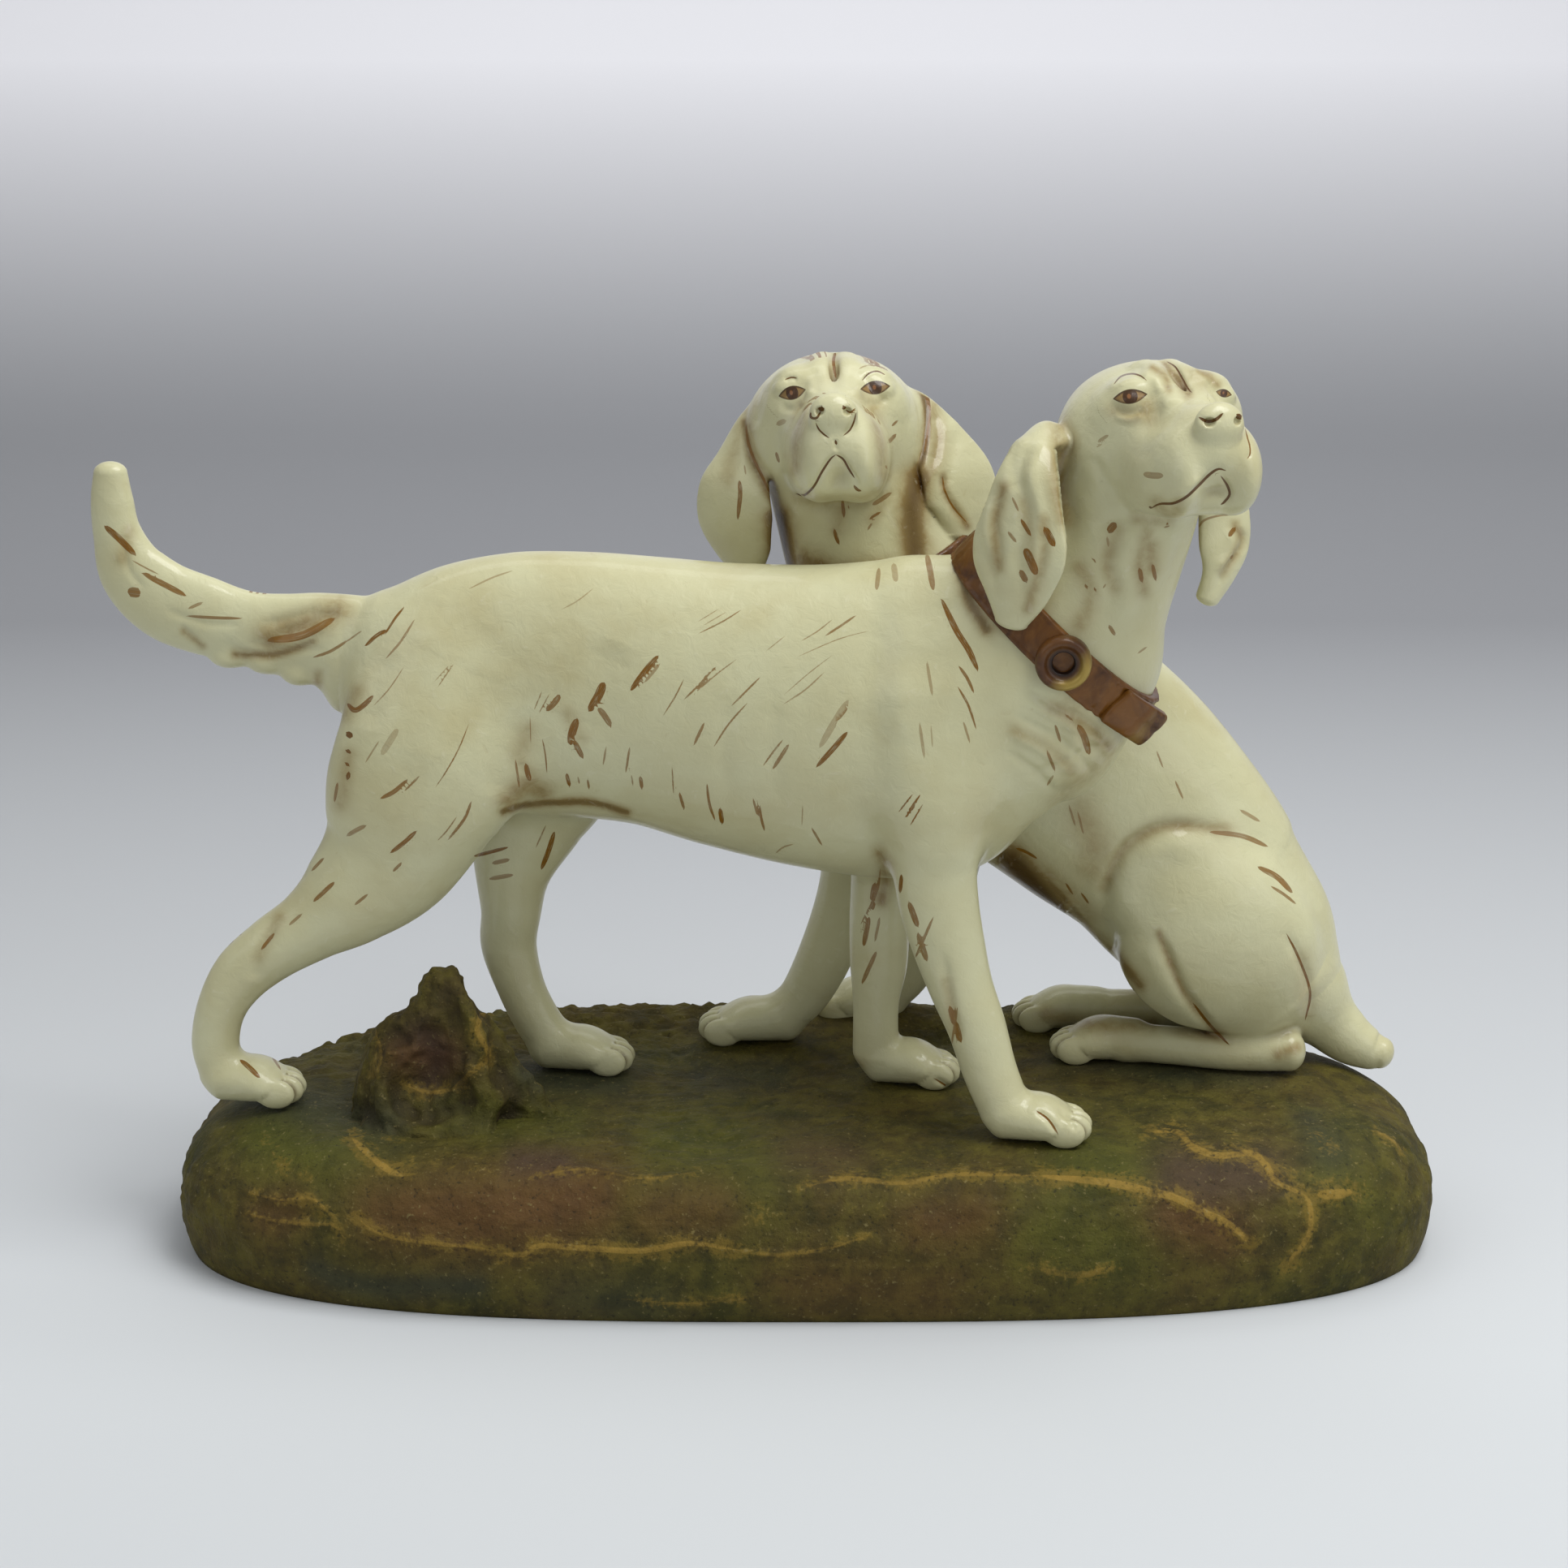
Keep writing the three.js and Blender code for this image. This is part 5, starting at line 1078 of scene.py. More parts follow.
SEATED_CUTS = traced(
    # forehead and brows
    (1.3, 0.7, 1030, 428, 1027, 446, 1030, 470), (0.7, 0.45, 966, 469, 975, 466, 983, 468),
    (0.7, 0.5, 1062, 470, 1071, 461, 1081, 458.5, 1091, 463),
    # nose and mouth
    (0.8, 0.5, 1005, 521, 1009, 529, 1015, 535, 1022, 540),
    (0.8, 0.5, 1055, 508, 1052, 520, 1047, 530, 1039, 537), (0.7, 0.5, 1029.5, 540, 1030.5, 556),
    (0.8, 0.7, 979, 607, 987, 610, 993, 609, 1003, 599, 1013, 581, 1023, 566, 1030, 559),
    (0.8, 0.7, 1030, 559, 1039, 566, 1046, 578, 1054, 590, 1061, 606),
    # cheeks
    (3.0, 0.5, 985, 505, 977, 545, 973, 580), (2.6, 0.5, 1080, 510, 1086, 550, 1092, 590),
    # ears
    (1.8, 0.6, 919, 521, 922, 545, 929, 566, 939, 587, 950, 610),
    (1.2, 0.7, 1127, 466, 1138, 486, 1142, 507, 1140, 532, 1136, 558, 1126, 586),
    (3.0, -0.3, 1168, 510, 1172, 545, 1166, 590), (2.2, 0.6, 1178, 530, 1172, 570, 1164, 604),
    (1.4, 0.5, 1161, 586, 1164, 604, 1174, 624, 1192, 645),
    # throat
    (2.0, 0.6, 985, 614, 1020, 618, 1060, 617, 1090, 608),
    # creases of the thigh
    (1.8, 0.7, 1582, 1146, 1600, 1180, 1614, 1222, 1606, 1260),
    (1.5, 0.6, 1462, 1226, 1490, 1262, 1518, 1290),
    # temples and eyes
    (1.5, 0.6, 944, 470, 936, 500, 926, 530), (1.6, 0.6, 1150, 500, 1156, 540, 1150, 580),
    (1.8, 0.5, 1000, 452, 1006, 470, 1002, 484), (1.8, 0.5, 1058, 448, 1052, 468, 1054, 480),
    (1.2, 0.5, 960, 500, 976, 504, 990, 498), (1.2, 0.5, 1064, 496, 1080, 498, 1094, 490),
    # haunch
    (2.4, 1.3, 1510, 1024, 1450, 1018, 1414, 1027, 1384, 1050, 1362, 1092, 1362, 1130),
    (4.5, -1.2, 1500, 1046, 1440, 1044, 1402, 1068, 1384, 1104, 1388, 1150),
    (1.8, 1.0, 1428, 1150, 1444, 1190, 1462, 1228, 1500, 1276),
    (3.0, -0.5, 1410, 1160, 1432, 1210, 1466, 1256),
    # belly
    (2.5, -0.8, 1235, 1052, 1250, 1062), (2.5, -0.7, 1308, 1112, 1318, 1122))
# Soft brown patches: partly a brown wash, partly painted shade on the belly and groin, behind the ears, at the
# throat and under the tail.
STANDING_WASH_AND_SHADE = traced(
    # head and throat
    (3.0, 0.8, 1302, 520, 1305, 560, 1304, 600, 1312, 640), (3.0, 0.55, 1412, 500, 1416, 515),
    (2.4, 0.7, 1418, 672, 1418, 700), (2.2, 0.6, 1440, 640, 1425, 620),
    (2.6, 0.6, 1330, 700, 1345, 735, 1330, 770), (3.0, 0.35, 1470, 462, 1478, 470),
    # chest and root of the tail
    (4.0, 0.5, 1315, 870, 1340, 900), (5.0, 0.9, 335, 785, 375, 770, 416, 752),
    # belly and groin
    (1.4, 1.2, 619, 1000, 645, 992, 683, 989, 731, 989, 772, 1001), (3.5, 0.8, 626, 985, 650, 968, 668, 975),
    (3.0, 0.5, 650, 900, 640, 930), (2.4, 0.9, 1084, 1052, 1092, 1070, 1086, 1110),
    (2.4, 0.6, 440, 850, 425, 880), (2.5, 0.5, 430, 930, 420, 990),
    # withers, ear and collar
    (2.2, 1.2, 1184, 700, 1194, 738, 1216, 775), (2.0, 0.5, 1262, 620, 1275, 700),
    (2.4, 0.5, 160, 655, 150, 690), (3.0, 0.4, 1300, 990, 1360, 940, 1410, 905),
    (2.6, 0.7, 1300, 872, 1345, 900, 1368, 925), (2.0, 0.5, 1250, 900, 1290, 920, 1320, 950),
    (1.8, 0.8, 1236, 600, 1226, 650, 1230, 700), (2.0, 0.7, 1286, 640, 1284, 690, 1266, 750),
    # forehead
    (1.6, 0.9, 1436, 450, 1452, 468, 1464, 486), (1.4, 0.8, 1478, 456, 1490, 464, 1500, 474),
    (1.2, 0.8, 1420, 452, 1436, 464, 1440, 480),
    # cheek and throat
    (2.4, 0.6, 1372, 506, 1400, 512, 1418, 506), (2.0, 0.5, 1452, 622, 1440, 640, 1400, 640),
    (2.2, 0.6, 1376, 655, 1364, 690, 1372, 724), (2.0, 0.6, 1414, 655, 1404, 695, 1410, 730),
    (1.6, 0.8, 1522, 645, 1528, 670, 1508, 706),
    # flank
    (2.5, 0.5, 700, 880, 716, 910), (2.0, 0.5, 640, 935, 660, 960),
    # under the tail
    (1.6, 1.0, 290, 806, 340, 806, 386, 790), (1.2, 0.8, 226, 778, 250, 796),
    (1.5, 0.7, 392, 830, 390, 870, 400, 900),
    # legs
    (1.8, 0.6, 1166, 1210, 1178, 1270), (1.8, 0.8, 1226, 1140, 1234, 1190),
    (2.4, 0.5, 1010, 1300, 1060, 1312), (2.0, 0.5, 344, 1130, 318, 1180))
SEATED_WASH_AND_SHADE = traced(
    # head
    (1.8, 0.5, 1029, 432, 1028, 462), (3.0, 0.35, 1066, 490, 1080, 500),
    # behind the ears
    (4.0, 1.9, 958, 640, 964, 680, 972, 712), (4.5, 1.5, 1132, 590, 1124, 630, 1128, 680),
    (1.3, 1.5, 1126, 468, 1138, 488, 1143, 518, 1139, 556, 1128, 590),
    (2.6, 0.7, 1150, 500, 1156, 540, 1146, 590), (2.0, 1.0, 918, 520, 924, 556, 942, 596, 956, 625),
    (4.0, 1.0, 990, 690, 1040, 705, 1100, 700),
    # cheeks, throat and ears
    (2.2, 0.7, 988, 500, 982, 540, 978, 580), (2.2, 0.7, 1076, 505, 1086, 545, 1090, 585),
    (2.4, 0.5, 980, 614, 1020, 620, 1070, 616), (2.6, 0.5, 930, 480, 912, 530, 896, 590),
    (1.6, 0.9, 1161, 586, 1166, 610, 1192, 648),
    # belly
    (5.0, 1.8, 1246, 1060, 1280, 1100, 1320, 1150),
    # haunch
    (4.0, 1.1, 1150, 700, 1180, 720), (2.2, 0.7, 1510, 1022, 1450, 1017, 1412, 1027, 1382, 1050, 1361, 1092),
    (1.4, 0.8, 1428, 1150, 1444, 1190, 1462, 1228, 1500, 1276),
    (5.0, 0.5, 1330, 1000, 1350, 1040, 1345, 1070),
    (2.2, 1.0, 1290, 1086, 1322, 1120, 1346, 1152, 1378, 1182, 1404, 1214),
    # throat
    (2.6, 0.6, 1030, 652, 1036, 625), (2.4, 0.5, 1075, 640, 1095, 610),
    # belly and feet
    (4.0, 0.6, 1250, 1050, 1300, 1090, 1340, 1130), (3.0, 0.4, 1605, 1180, 1612, 1250),
    (3.0, 0.7, 1290, 1250, 1350, 1262, 1420, 1262), (2.0, 0.7, 1598, 1290, 1575, 1300))

# %% [markdown]
# The side that the picture doesn't show is painted by the same hand, so its strokes are thrown with a seeded
# chance: short flicks that slant down and back, singly and in twos and threes.

# %% Strokes of the unseen side
def flicks(count, low, high, seed):
    """Strokes for the sheet behind, in groups of one to three, slanting by 50 to 70 degrees."""
    chance = np.random.default_rng(seed)
    made = []
    for _ in range(count):
        u, v = chance.uniform(low, high)
        length, slant = chance.uniform(14, 40), math.radians(chance.uniform(50, 70))
        right, down = length * math.cos(slant), length * math.sin(slant)
        for beside in range(chance.integers(1, 4)):
            x = u + 9 * beside
            made.append(Stroke(chance.uniform(0.25, 0.8), chance.uniform(0.6, 1.1),
                               (x + right, v - down), (x + 2, v + 2), (x - right, v + down), side=-1))
    return made


STANDING_PAINT += flicks(75, (250, 700), (1430, 1250), 7)
SEATED_PAINT += flicks(60, (900, 480), (1650, 1250), 11)

# %% [markdown]
# ## From clay to castings
# The skin of a hound is found on two grids, a fine one for the head and the ears and a wider one for the
# rest, and then taken apart into its castings where one lump's distance passes another's. Neighbours on one
# grid share their border points, so that the seams close.

# %% Meshes
def to_base(points, normals, place):
    """From a hound's frame to the base's frame."""
    origin, yaw = place
    turn = turn_about_z(math.radians(yaw))
    return points @ turn.T + np.array(origin), normals @ turn.T


def mesh_object(name, points, faces, normals, attributes, material):
    """Points in mm of the base's frame; `attributes` are numbers by name, one for each point."""
    points = (points + BASE_MIDDLE) / 1000
    mesh = bpy.data.meshes.new(name)
    mesh.vertices.add(len(points))
    mesh.vertices.foreach_set("co", points.astype(np.float32).ravel())
    sides = faces.shape[1]
    mesh.loops.add(faces.size)
    mesh.loops.foreach_set("vertex_index", faces.astype(np.int32).ravel())
    mesh.polygons.add(len(faces))
    mesh.polygons.foreach_set("loop_start", np.arange(0, faces.size, sides, dtype=np.int32))
    mesh.polygons.foreach_set("use_smooth", np.ones(len(faces), bool))
    mesh.update(calc_edges=True)
    for key, values in attributes.items():
        layer = mesh.attributes.new(key, "FLOAT", "POINT")
        layer.data.foreach_set("value", values.astype(np.float32))
    if normals is not None:
        mesh.normals_split_custom_set_from_vertices(normals.astype(np.float32).tolist())
    mesh.materials.append(material)
    made = bpy.data.objects.new(name, mesh)
    bpy.context.scene.collection.objects.link(made)
    return made


def finish_piece(made, node):
    """Says which node the piece stands for, hides that node, and hangs the piece on the body that it rides on.
    """
    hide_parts(node)
    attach(made, "root")
    print(made.name, "stands for", node, "with", len(made.data.vertices), "points")


def keep_faces(points, faces, extras):
    """The points that some faces use, in order, with the faces renumbered."""
    used = np.unique(faces)
    lookup = np.zeros(len(points), int)
    lookup[used] = np.arange(len(used))
    return points[used], lookup[faces], [extra[used] for extra in extras]


# The crevice measure lays a brown wash in the fine creases; the hollow measure darkens the wider hollows as
# painted shade.
CREVICE_REACH, HOLLOW_REACH = 1.5, 5.0  # mm above the skin, where other clay makes it dark


def skin(clay, group, castings, step, lap, cuts, place):
    """Skin of the castings of one group: points, faces, normals, each face's casting, and how deep it lies.

    A face belongs to the casting whose lumps come nearest. By up to `lap` mm past the border the group also
    keeps the other group's faces, so that two grids that share no points leave no slit between them.
    """
    boxes = [clay.reach(lump.low, lump.high, frame) for casting, lump, frame in clay.lumps if casting in group]
    low = np.min([box[0] for box in boxes], axis=0) - 2 * step - 1
    high = np.max([box[1] for box in boxes], axis=0) + 2 * step + 1
    points, faces = surface(clay, low, high, step)
    own = np.array(clay.field(points[faces].mean(1), 2.0, castings)[1])
    owner = np.argmin(own, axis=0)
    mine = np.isin(owner, [castings.index(casting) for casting in group])
    if lap:
        ours = np.where(np.isin(castings, group)[:, None], own, np.inf)
        lapping = (ours.min(0) - own.min(0) < lap) & ~mine
        owner[lapping] = np.argmin(ours, axis=0)[lapping]
        mine |= lapping
    points, faces, _ = keep_faces(points, faces[mine], [])
    points, normals = settle(clay, points, step)
    crevice, hollow = (np.clip(1 - clay.field(points + normals * reach) / reach, 0, 1)
                       for reach in (CREVICE_REACH, HOLLOW_REACH))
    points, normals = carve(*to_base(points, normals, place), cuts)
    return points, faces, normals, owner[mine], crevice, hollow


FINE = ["far_ear", "head", "near_ear"]  # the castings of the finer grid
FINE_STEP, STEP, LAP = 0.55 * COARSE, 0.85 * COARSE, 0.8  # mm
STROKE_MARKS = ("across", "along", "width", "force")
MARKS = ("crevice", "hollow", *STROKE_MARKS, "wash_and_shade", "eye_side", "eye_up")


def hound(prefix, clay, place, lines, lap, material):
    """Skins a whole hound, its head and ears on a finer grid, and makes an object for each casting."""
    cuts, strokes, washes_and_shade, eyes = lines
    castings = sorted({casting for casting, _, _ in clay.lumps})
    rest = [casting for casting in castings if casting not in FINE]
    for group, step, group_lap, group_eyes in ((FINE, FINE_STEP, LAP, eyes), (rest, STEP, lap, [])):
        points, faces, normals, owner, *deep = skin(clay, group, castings, step, group_lap, cuts, place)
        marks = [*deep, *paint(points, normals, strokes), wash_and_shade(points, normals, washes_and_shade)]
        marks += eye_places(points, normals, group_eyes)
        print(prefix, "hound:", len(points), "points,", 2 * len(faces), "triangles")
        for casting in group:
            some = faces[owner == castings.index(casting)]
            kept, some, (own_normals, *own_marks) = keep_faces(points, some, [normals, *marks])
            piece = mesh_object(f"{prefix}_{casting}_glazed", kept, some, own_normals,
                                dict(zip(MARKS, own_marks)), material)
            finish_piece(piece, f"{prefix}_{casting}")

# %% [markdown]
# ## Porcelain
# The clay is ivory under a satin glaze. A brown wash gathers in the crevices, and the wider hollows are
# darkened as painted shade. Soft brown patches are partly a brown wash and partly painted shade. A stroke is
# drawn where the half width is more than the way across, and noise pulled out along the stroke breaks it up
# like the hairs of a brush. The eye is an almond, |up| < 1 - side², with a dark lid line, a brown iris and a
# lighter spot that is a painted highlight.

# %% Porcelain
IVORY, IVORY_WARM, OCHRE_CLOUD = (0.575, 0.56, 0.345), (0.48, 0.44, 0.235), (0.40, 0.33, 0.14)
CHALK, DUST, HOLLOW_SHADE = (0.70, 0.68, 0.52), (0.36, 0.28, 0.13), (0.24, 0.165, 0.05)
WASH_BROWN_AND_SHADE, WASH_AND_SHADE_DEEP, CREVICE_BROWN = (0.21, 0.118, 0.014), (0.06, 0.028, 0.004), (0.09, 0.04, 0.006)
SIENNA, SIENNA_STREAK, UMBER = (0.205, 0.086, 0.0), (0.10, 0.038, 0.0), (0.085, 0.035, 0.003)
EYEBALL, IRIS = (0.05, 0.02, 0.004), (0.24, 0.145, 0.045)
IRIS_HIGHLIGHT, LID = (0.27, 0.11, 0.035), (0.045, 0.019, 0.003)


def porcelain():
    finish = Finish("painted porcelain", specular=0.3)
    crevice, hollow, across, along, width, force, wash_and_shade_mark, side, up = map(finish.attribute, MARKS)
    hairs = finish.noise(1.0, 2, 0.6, vector=finish.node("ShaderNodeCombineXYZ", X=across * 5, Y=along * 0.35))
    mottle = finish.noise(45, 3, 0.55)
    colour = finish.mix(mottle.step(0.35, 0.7) * 0.5, IVORY, IVORY_WARM)
    colour = finish.mix(finish.noise(16, 4, 0.65, 0.5).step(0.52, 0.72) * 0.4, colour, OCHRE_CLOUD)
    # painted shade: the wider hollows are darkened towards brown
    colour = finish.mix(hollow.step(0.3, 1.0) * 0.5, colour, HOLLOW_SHADE)
    grain = finish.noise(230, 4, 0.65, 0.6)
    # partly a brown wash and partly painted shade; the strongest patches go deep brown as painted shade
    wash_and_shade_share = (wash_and_shade_mark * (mottle * 0.9 + grain * 1.5 - 0.25)).clamp()
    colour = finish.mix(wash_and_shade_share * 0.8, colour, WASH_BROWN_AND_SHADE)
    colour = finish.mix((wash_and_shade_mark - 0.7).clamp() * 0.85, colour, WASH_AND_SHADE_DEEP)
    colour = finish.mix(crevice.step(0.3, 0.95) * 0.85, colour, CREVICE_BROWN)
    colour = finish.mix(grain.step(0.62, 0.78) * 0.3, colour, CHALK)
    colour = finish.mix((1 - grain).step(0.64, 0.78) * 0.25, colour, DUST)
    edge = ((width - across.math("ABSOLUTE")) / 0.14).clamp()
    light = force.least(1.0) * edge * (hairs.step(0.28, 0.5) * 0.75 + 0.25)
    dark = (force - 1.0).clamp() * edge
    colour = finish.mix(light, colour, SIENNA)
    colour = finish.mix(light * (1 - hairs).step(0.45, 0.6) * 0.6, colour, SIENNA_STREAK)
    colour = finish.mix(dark * 0.9, colour, UMBER)
    almond = 1 - side * side - up.math("ABSOLUTE")
    inside = (almond / 0.08).clamp()
    iris = (1 - (side * side * 5.2 + up * up * 0.9)).step(0.0, 0.12)
    # painted highlight: a lighter spot in each iris
    glint = (1 - ((side + 0.06) ** 2 * 60 + (up - 0.05) ** 2 * 7)).step(0.0, 0.5)
    eye = finish.mix(iris, IRIS, EYEBALL)
    eye = finish.mix(glint * 0.7, eye, IRIS_HIGHLIGHT)
    lid = 1 - (almond - up * 0.12).step(0.1, 0.42)
    colour = finish.mix(inside, colour, finish.mix(lid, eye, LID))
    skin_height = grain * 0.7 + finish.noise(90, 3, 0.55) * 0.9
    return finish.shade(Base_Color=colour, Roughness=0.36, Coat_Weight=0.32, Coat_Roughness=0.07,
                        Normal=finish.bump(skin_height, 0.0007, 0.55))


glaze = porcelain()
hound("standing", standing_clay, STANDING_PLACE,
      (STANDING_CUTS, STANDING_PAINT, STANDING_WASH_AND_SHADE, STANDING_EYES), LAP, glaze)
hound("seated", seated_clay, SEATED_PLACE,
      (SEATED_CUTS, SEATED_PAINT, SEATED_WASH_AND_SHADE, SEATED_EYES), 0, glaze)

# %% [markdown]
# ## Collars
# A collar is a strap of clay laid round the neck before firing. It is a loop of an oval by a section with
# rounded edges and a pressed line along each; folds in the leather lie where the strap end turns off it. The
# eyelet is turned: a rolled rim round a shallow dish that is painted dark as shade, with gold only on its lower
# right side, partly gilt and partly a painted highlight.

# %% Collars
COLLAR_WIDTH, COLLAR_THICKNESS = 13.0, 2.4


def neck_frame(rows, station, lean):
    """Middle, three directions and half sizes of the plane of a band, which droops by `lean` degrees."""
    table, slope, _ = (part[0] for part in Spline(rows).at(np.array([float(station)])))
    x, y, z = unit(slope[:3])
    a = math.radians(lean)
    along = np.array([x * math.cos(a) + z * math.sin(a), y, z * math.cos(a) - x * math.sin(a)])
    wide = unit(np.array([0, 1, 0]) - along * along[1])
    return table[:3], along, wide, np.cross(along, wide), table[3], table[4]


def band_point(band, turn, off, shift=0.0):
    """`turn` degrees from the near side towards the throat, `off` outside the neck, `shift` along it."""
    centre, along, wide, deep, half, depth = band
    a = np.radians(turn)[..., None]
    off, shift = np.asarray(off, float)[..., None], np.asarray(shift, float)[..., None]
    return centre - wide * np.cos(a) * (half + off) - deep * np.sin(a) * (depth + off) + along * shift


def closed_mesh(name, grid, place, material, attributes=(), round_both=False):
    """An object from a grid whose columns join; its rows join too with `round_both`, or its ends are capped."""
    rows, columns = grid.shape[:2]
    faces = grid_faces(rows, columns)
    if round_both:
        j = np.arange(columns)
        last = (rows - 1) * columns
        faces = np.vstack([faces, np.stack([last + j, last + (j + 1) % columns, (j + 1) % columns, j], 1)])
    else:
        i = np.arange(columns // 2 - 1)
        cap = np.stack([i, columns - 1 - i, columns - 2 - i, i + 1], 1)
        faces = np.vstack([faces, cap, (rows - 1) * columns + cap[:, ::-1]])
    points = grid.reshape(-1, 3)
    if place is not None:
        points, _ = to_base(points, points, place)
    return mesh_object(name, points, faces, None, dict(attributes), material)


def collar(prefix, band, place, folds, material):
    """A band with rounded edges and a pressed line along each; `folds` are the turns where it creases."""
    turn = np.linspace(0, 360, 260, endpoint=False)[:, None]
    edge = COLLAR_WIDTH / 2
    section = np.array([
        [-1.2, -edge + 0.6], [0.6, -edge], [1.5, -edge + 0.1], [2.0, -edge + 0.5], [2.2, -edge + 1.0],
        [2.0, -edge + 1.5], [2.1, -edge + 2.0], [2.35, -edge + 3],
        [COLLAR_THICKNESS, -2], [COLLAR_THICKNESS, 0]])
    section = np.vstack([section, (section * [1, -1])[-2::-1]])
    off, shift = section[None, :, 0], section[None, :, 1]
    outer = np.clip(off / 2, 0, 1)
    fold = sum(0.45 * np.exp(-((turn - at + shift * 0.5) / 1.8) ** 2) for at in folds)
    wear = 0.12 * np.sin(turn * 0.31 + shift) + 0.1 * np.sin(turn * 0.83)
    grid = band_point(band, turn + 0 * shift, off + outer * (fold + wear), shift + 0 * turn)
    made = closed_mesh(prefix + "_collar_band", grid[:, ::-1], place, material, round_both=True)
    finish_piece(made, prefix + "_collar")


EYELET_TURN = 7.0  # degrees round the band
EYELET = [  # radius and height: out under the rim, over it, and down into the dish
    [3.0, -0.5], [5.5, -0.5], [7.6, -0.5], [7.95, -0.1], [8, 0.8], [8, 1.8], [7.9, 2.6], [7.6, 3.3], [7.1, 3.8],
    [6.5, 4.0], [5.9, 3.9], [5.4, 3.5], [5.0, 2.9], [4.5, 2.3], [4.0, 2.1], [3.6, 2.2], [3.3, 2.0], [3.1, 1.4],
    [3.0, 0.4]]


def eyelet(band, place, material):
    """A profile turned about the band's normal; `gilt` is 1 where the gold lies, partly gilt and partly a
    painted highlight, and `deep` in the dish, which is painted dark as shade.
    """
    angle = np.linspace(0, 2 * math.pi, 96, endpoint=False)[None, :]
    profile = np.array(EYELET)[:, None, :]
    _, _, wide, deep, half, depth = band
    a = math.radians(EYELET_TURN)
    normal = unit(-wide * math.cos(a) / half - deep * math.sin(a) / depth)
    first = unit(np.cross([0.0, 0.0, 1.0], normal))
    second = np.cross(normal, first)
    middle = band_point(band, np.array(EYELET_TURN), COLLAR_THICKNESS - 0.5)
    radius, height = profile[..., :1], profile[..., 1:]
    spoke = first * np.cos(angle)[..., None] + second * np.sin(angle)[..., None]
    grid = middle + spoke * radius + normal * height
    gilt = np.clip(1.3 * np.cos(angle + 0.75) - 0.15, 0, 1) * np.clip((radius[..., 0] - 4.4) / 1.2, 0, 1)
    dish = np.clip((4.6 - radius[..., 0]) / 1.2, 0, 1) * np.ones_like(angle)
    marks = {"gilt": gilt[:, ::-1].ravel(), "deep": dish.ravel()}
    made = closed_mesh("standing_collar_eyelet_turned", grid[:, ::-1], place, material, marks, round_both=True)
    finish_piece(made, "standing_collar_eyelet")


STRAP_START, STRAP_END = 40, 73  # degrees round the band
STRAP_HALF_WIDTH, STRAP_THICKNESS = 6.1, 2.25


def strap_end(band, place, material):
    """A flat section, |p|^4 + |q|^4 = 1, carried off the band; its tip is folded back, so thicker."""
    share = np.linspace(0, 1, 60)
    turn = STRAP_START + (STRAP_END - STRAP_START) * share
    lift = COLLAR_THICKNESS + 5 * np.interp(share, [0, 0.35, 0.7, 1], [0.15, 0.3, 0.5, 1.0])
    path = band_point(band, turn, lift)
    step = unit(np.gradient(path, axis=0))
    wide = unit(band[1] - step * (step @ band[1])[:, None])
    out = np.cross(wide, step)
    end = np.sqrt(np.clip(1 - np.clip(np.abs(share - 0.5) * 2 - 0.86, 0, 1) ** 2 / 0.14**2, 0.0004, 1))
    angle = np.linspace(0, 2 * math.pi, 72, endpoint=False)[None, :]
    p = np.sign(np.cos(angle)) * np.abs(np.cos(angle)) ** 0.5
    q = np.sign(np.sin(angle)) * np.abs(np.sin(angle)) ** 0.5
    thick = STRAP_THICKNESS * (0.72 + 0.28 * np.clip((share - 0.5) / 0.12, 0, 1))[:, None]
    groove = 1 - 0.16 * np.exp(-(p * STRAP_HALF_WIDTH / 1.2) ** 2)
    grid = path[:, None] + wide[:, None] * (STRAP_HALF_WIDTH * end[:, None] * p)[..., None]
    grid = grid + out[:, None] * (thick * end[:, None] * q * groove)[..., None]
    fold = (np.clip((share - 0.55) / 0.2, 0, 1)[:, None] * np.ones_like(angle)).ravel()
    made = closed_mesh("standing_strap_end_folded", grid, place, material, {"fold": fold})
    finish_piece(made, "standing_strap_end")

# %% [markdown]
# ## The ground
# The base is an oval of power 2.9, with a rolled edge: flat under the paws, a low ridge at the back, and a
# bulge at the rim. It is a grid of angle by profile, roughened by value noise.

# %% Noise for clay
def lumps_of(points, size, seed):
    """Value noise from -1 to 1: random numbers on a lattice of this size, blended by a smooth cubic."""
    lattice = np.random.default_rng(seed).uniform(-1, 1, (32, 32, 32))
    q = points / size
    cell = np.floor(q).astype(int)
    share = q - cell
    share = share * share * (3 - 2 * share)
    total = 0
    for i in (0, 1):
        for j in (0, 1):
            for k in (0, 1):
                corner = np.array([i, j, k])
                x, y, z = np.moveaxis((cell + corner) % 32, -1, 0)
                total = total + np.abs(1 - corner - share).prod(-1) * lattice[x, y, z]
    return total


def grid_faces(rows, columns):
    """Quads of a grid of points whose last column joins the first."""
    i, j = np.meshgrid(np.arange(rows - 1), np.arange(columns), indexing="ij")
    a, b = i * columns + j, i * columns + (j + 1) % columns
    return np.stack([a, b, b + columns, a + columns], -1).reshape(-1, 4)


def grid_normals(grid):
    """Normals of such a grid of points, from the slopes along its rows and columns."""
    over = (np.roll(grid, -1, 1) - np.roll(grid, 1, 1)) / 2
    return unit(np.cross(over, np.gradient(grid, axis=0)))

# %% [markdown]
# The ground's lines are laid on the same sheet. Ochre veins stand a little proud of the mound, with dust
# round them, and broad soft strokes give the patches of rust, violet, shade and moss.

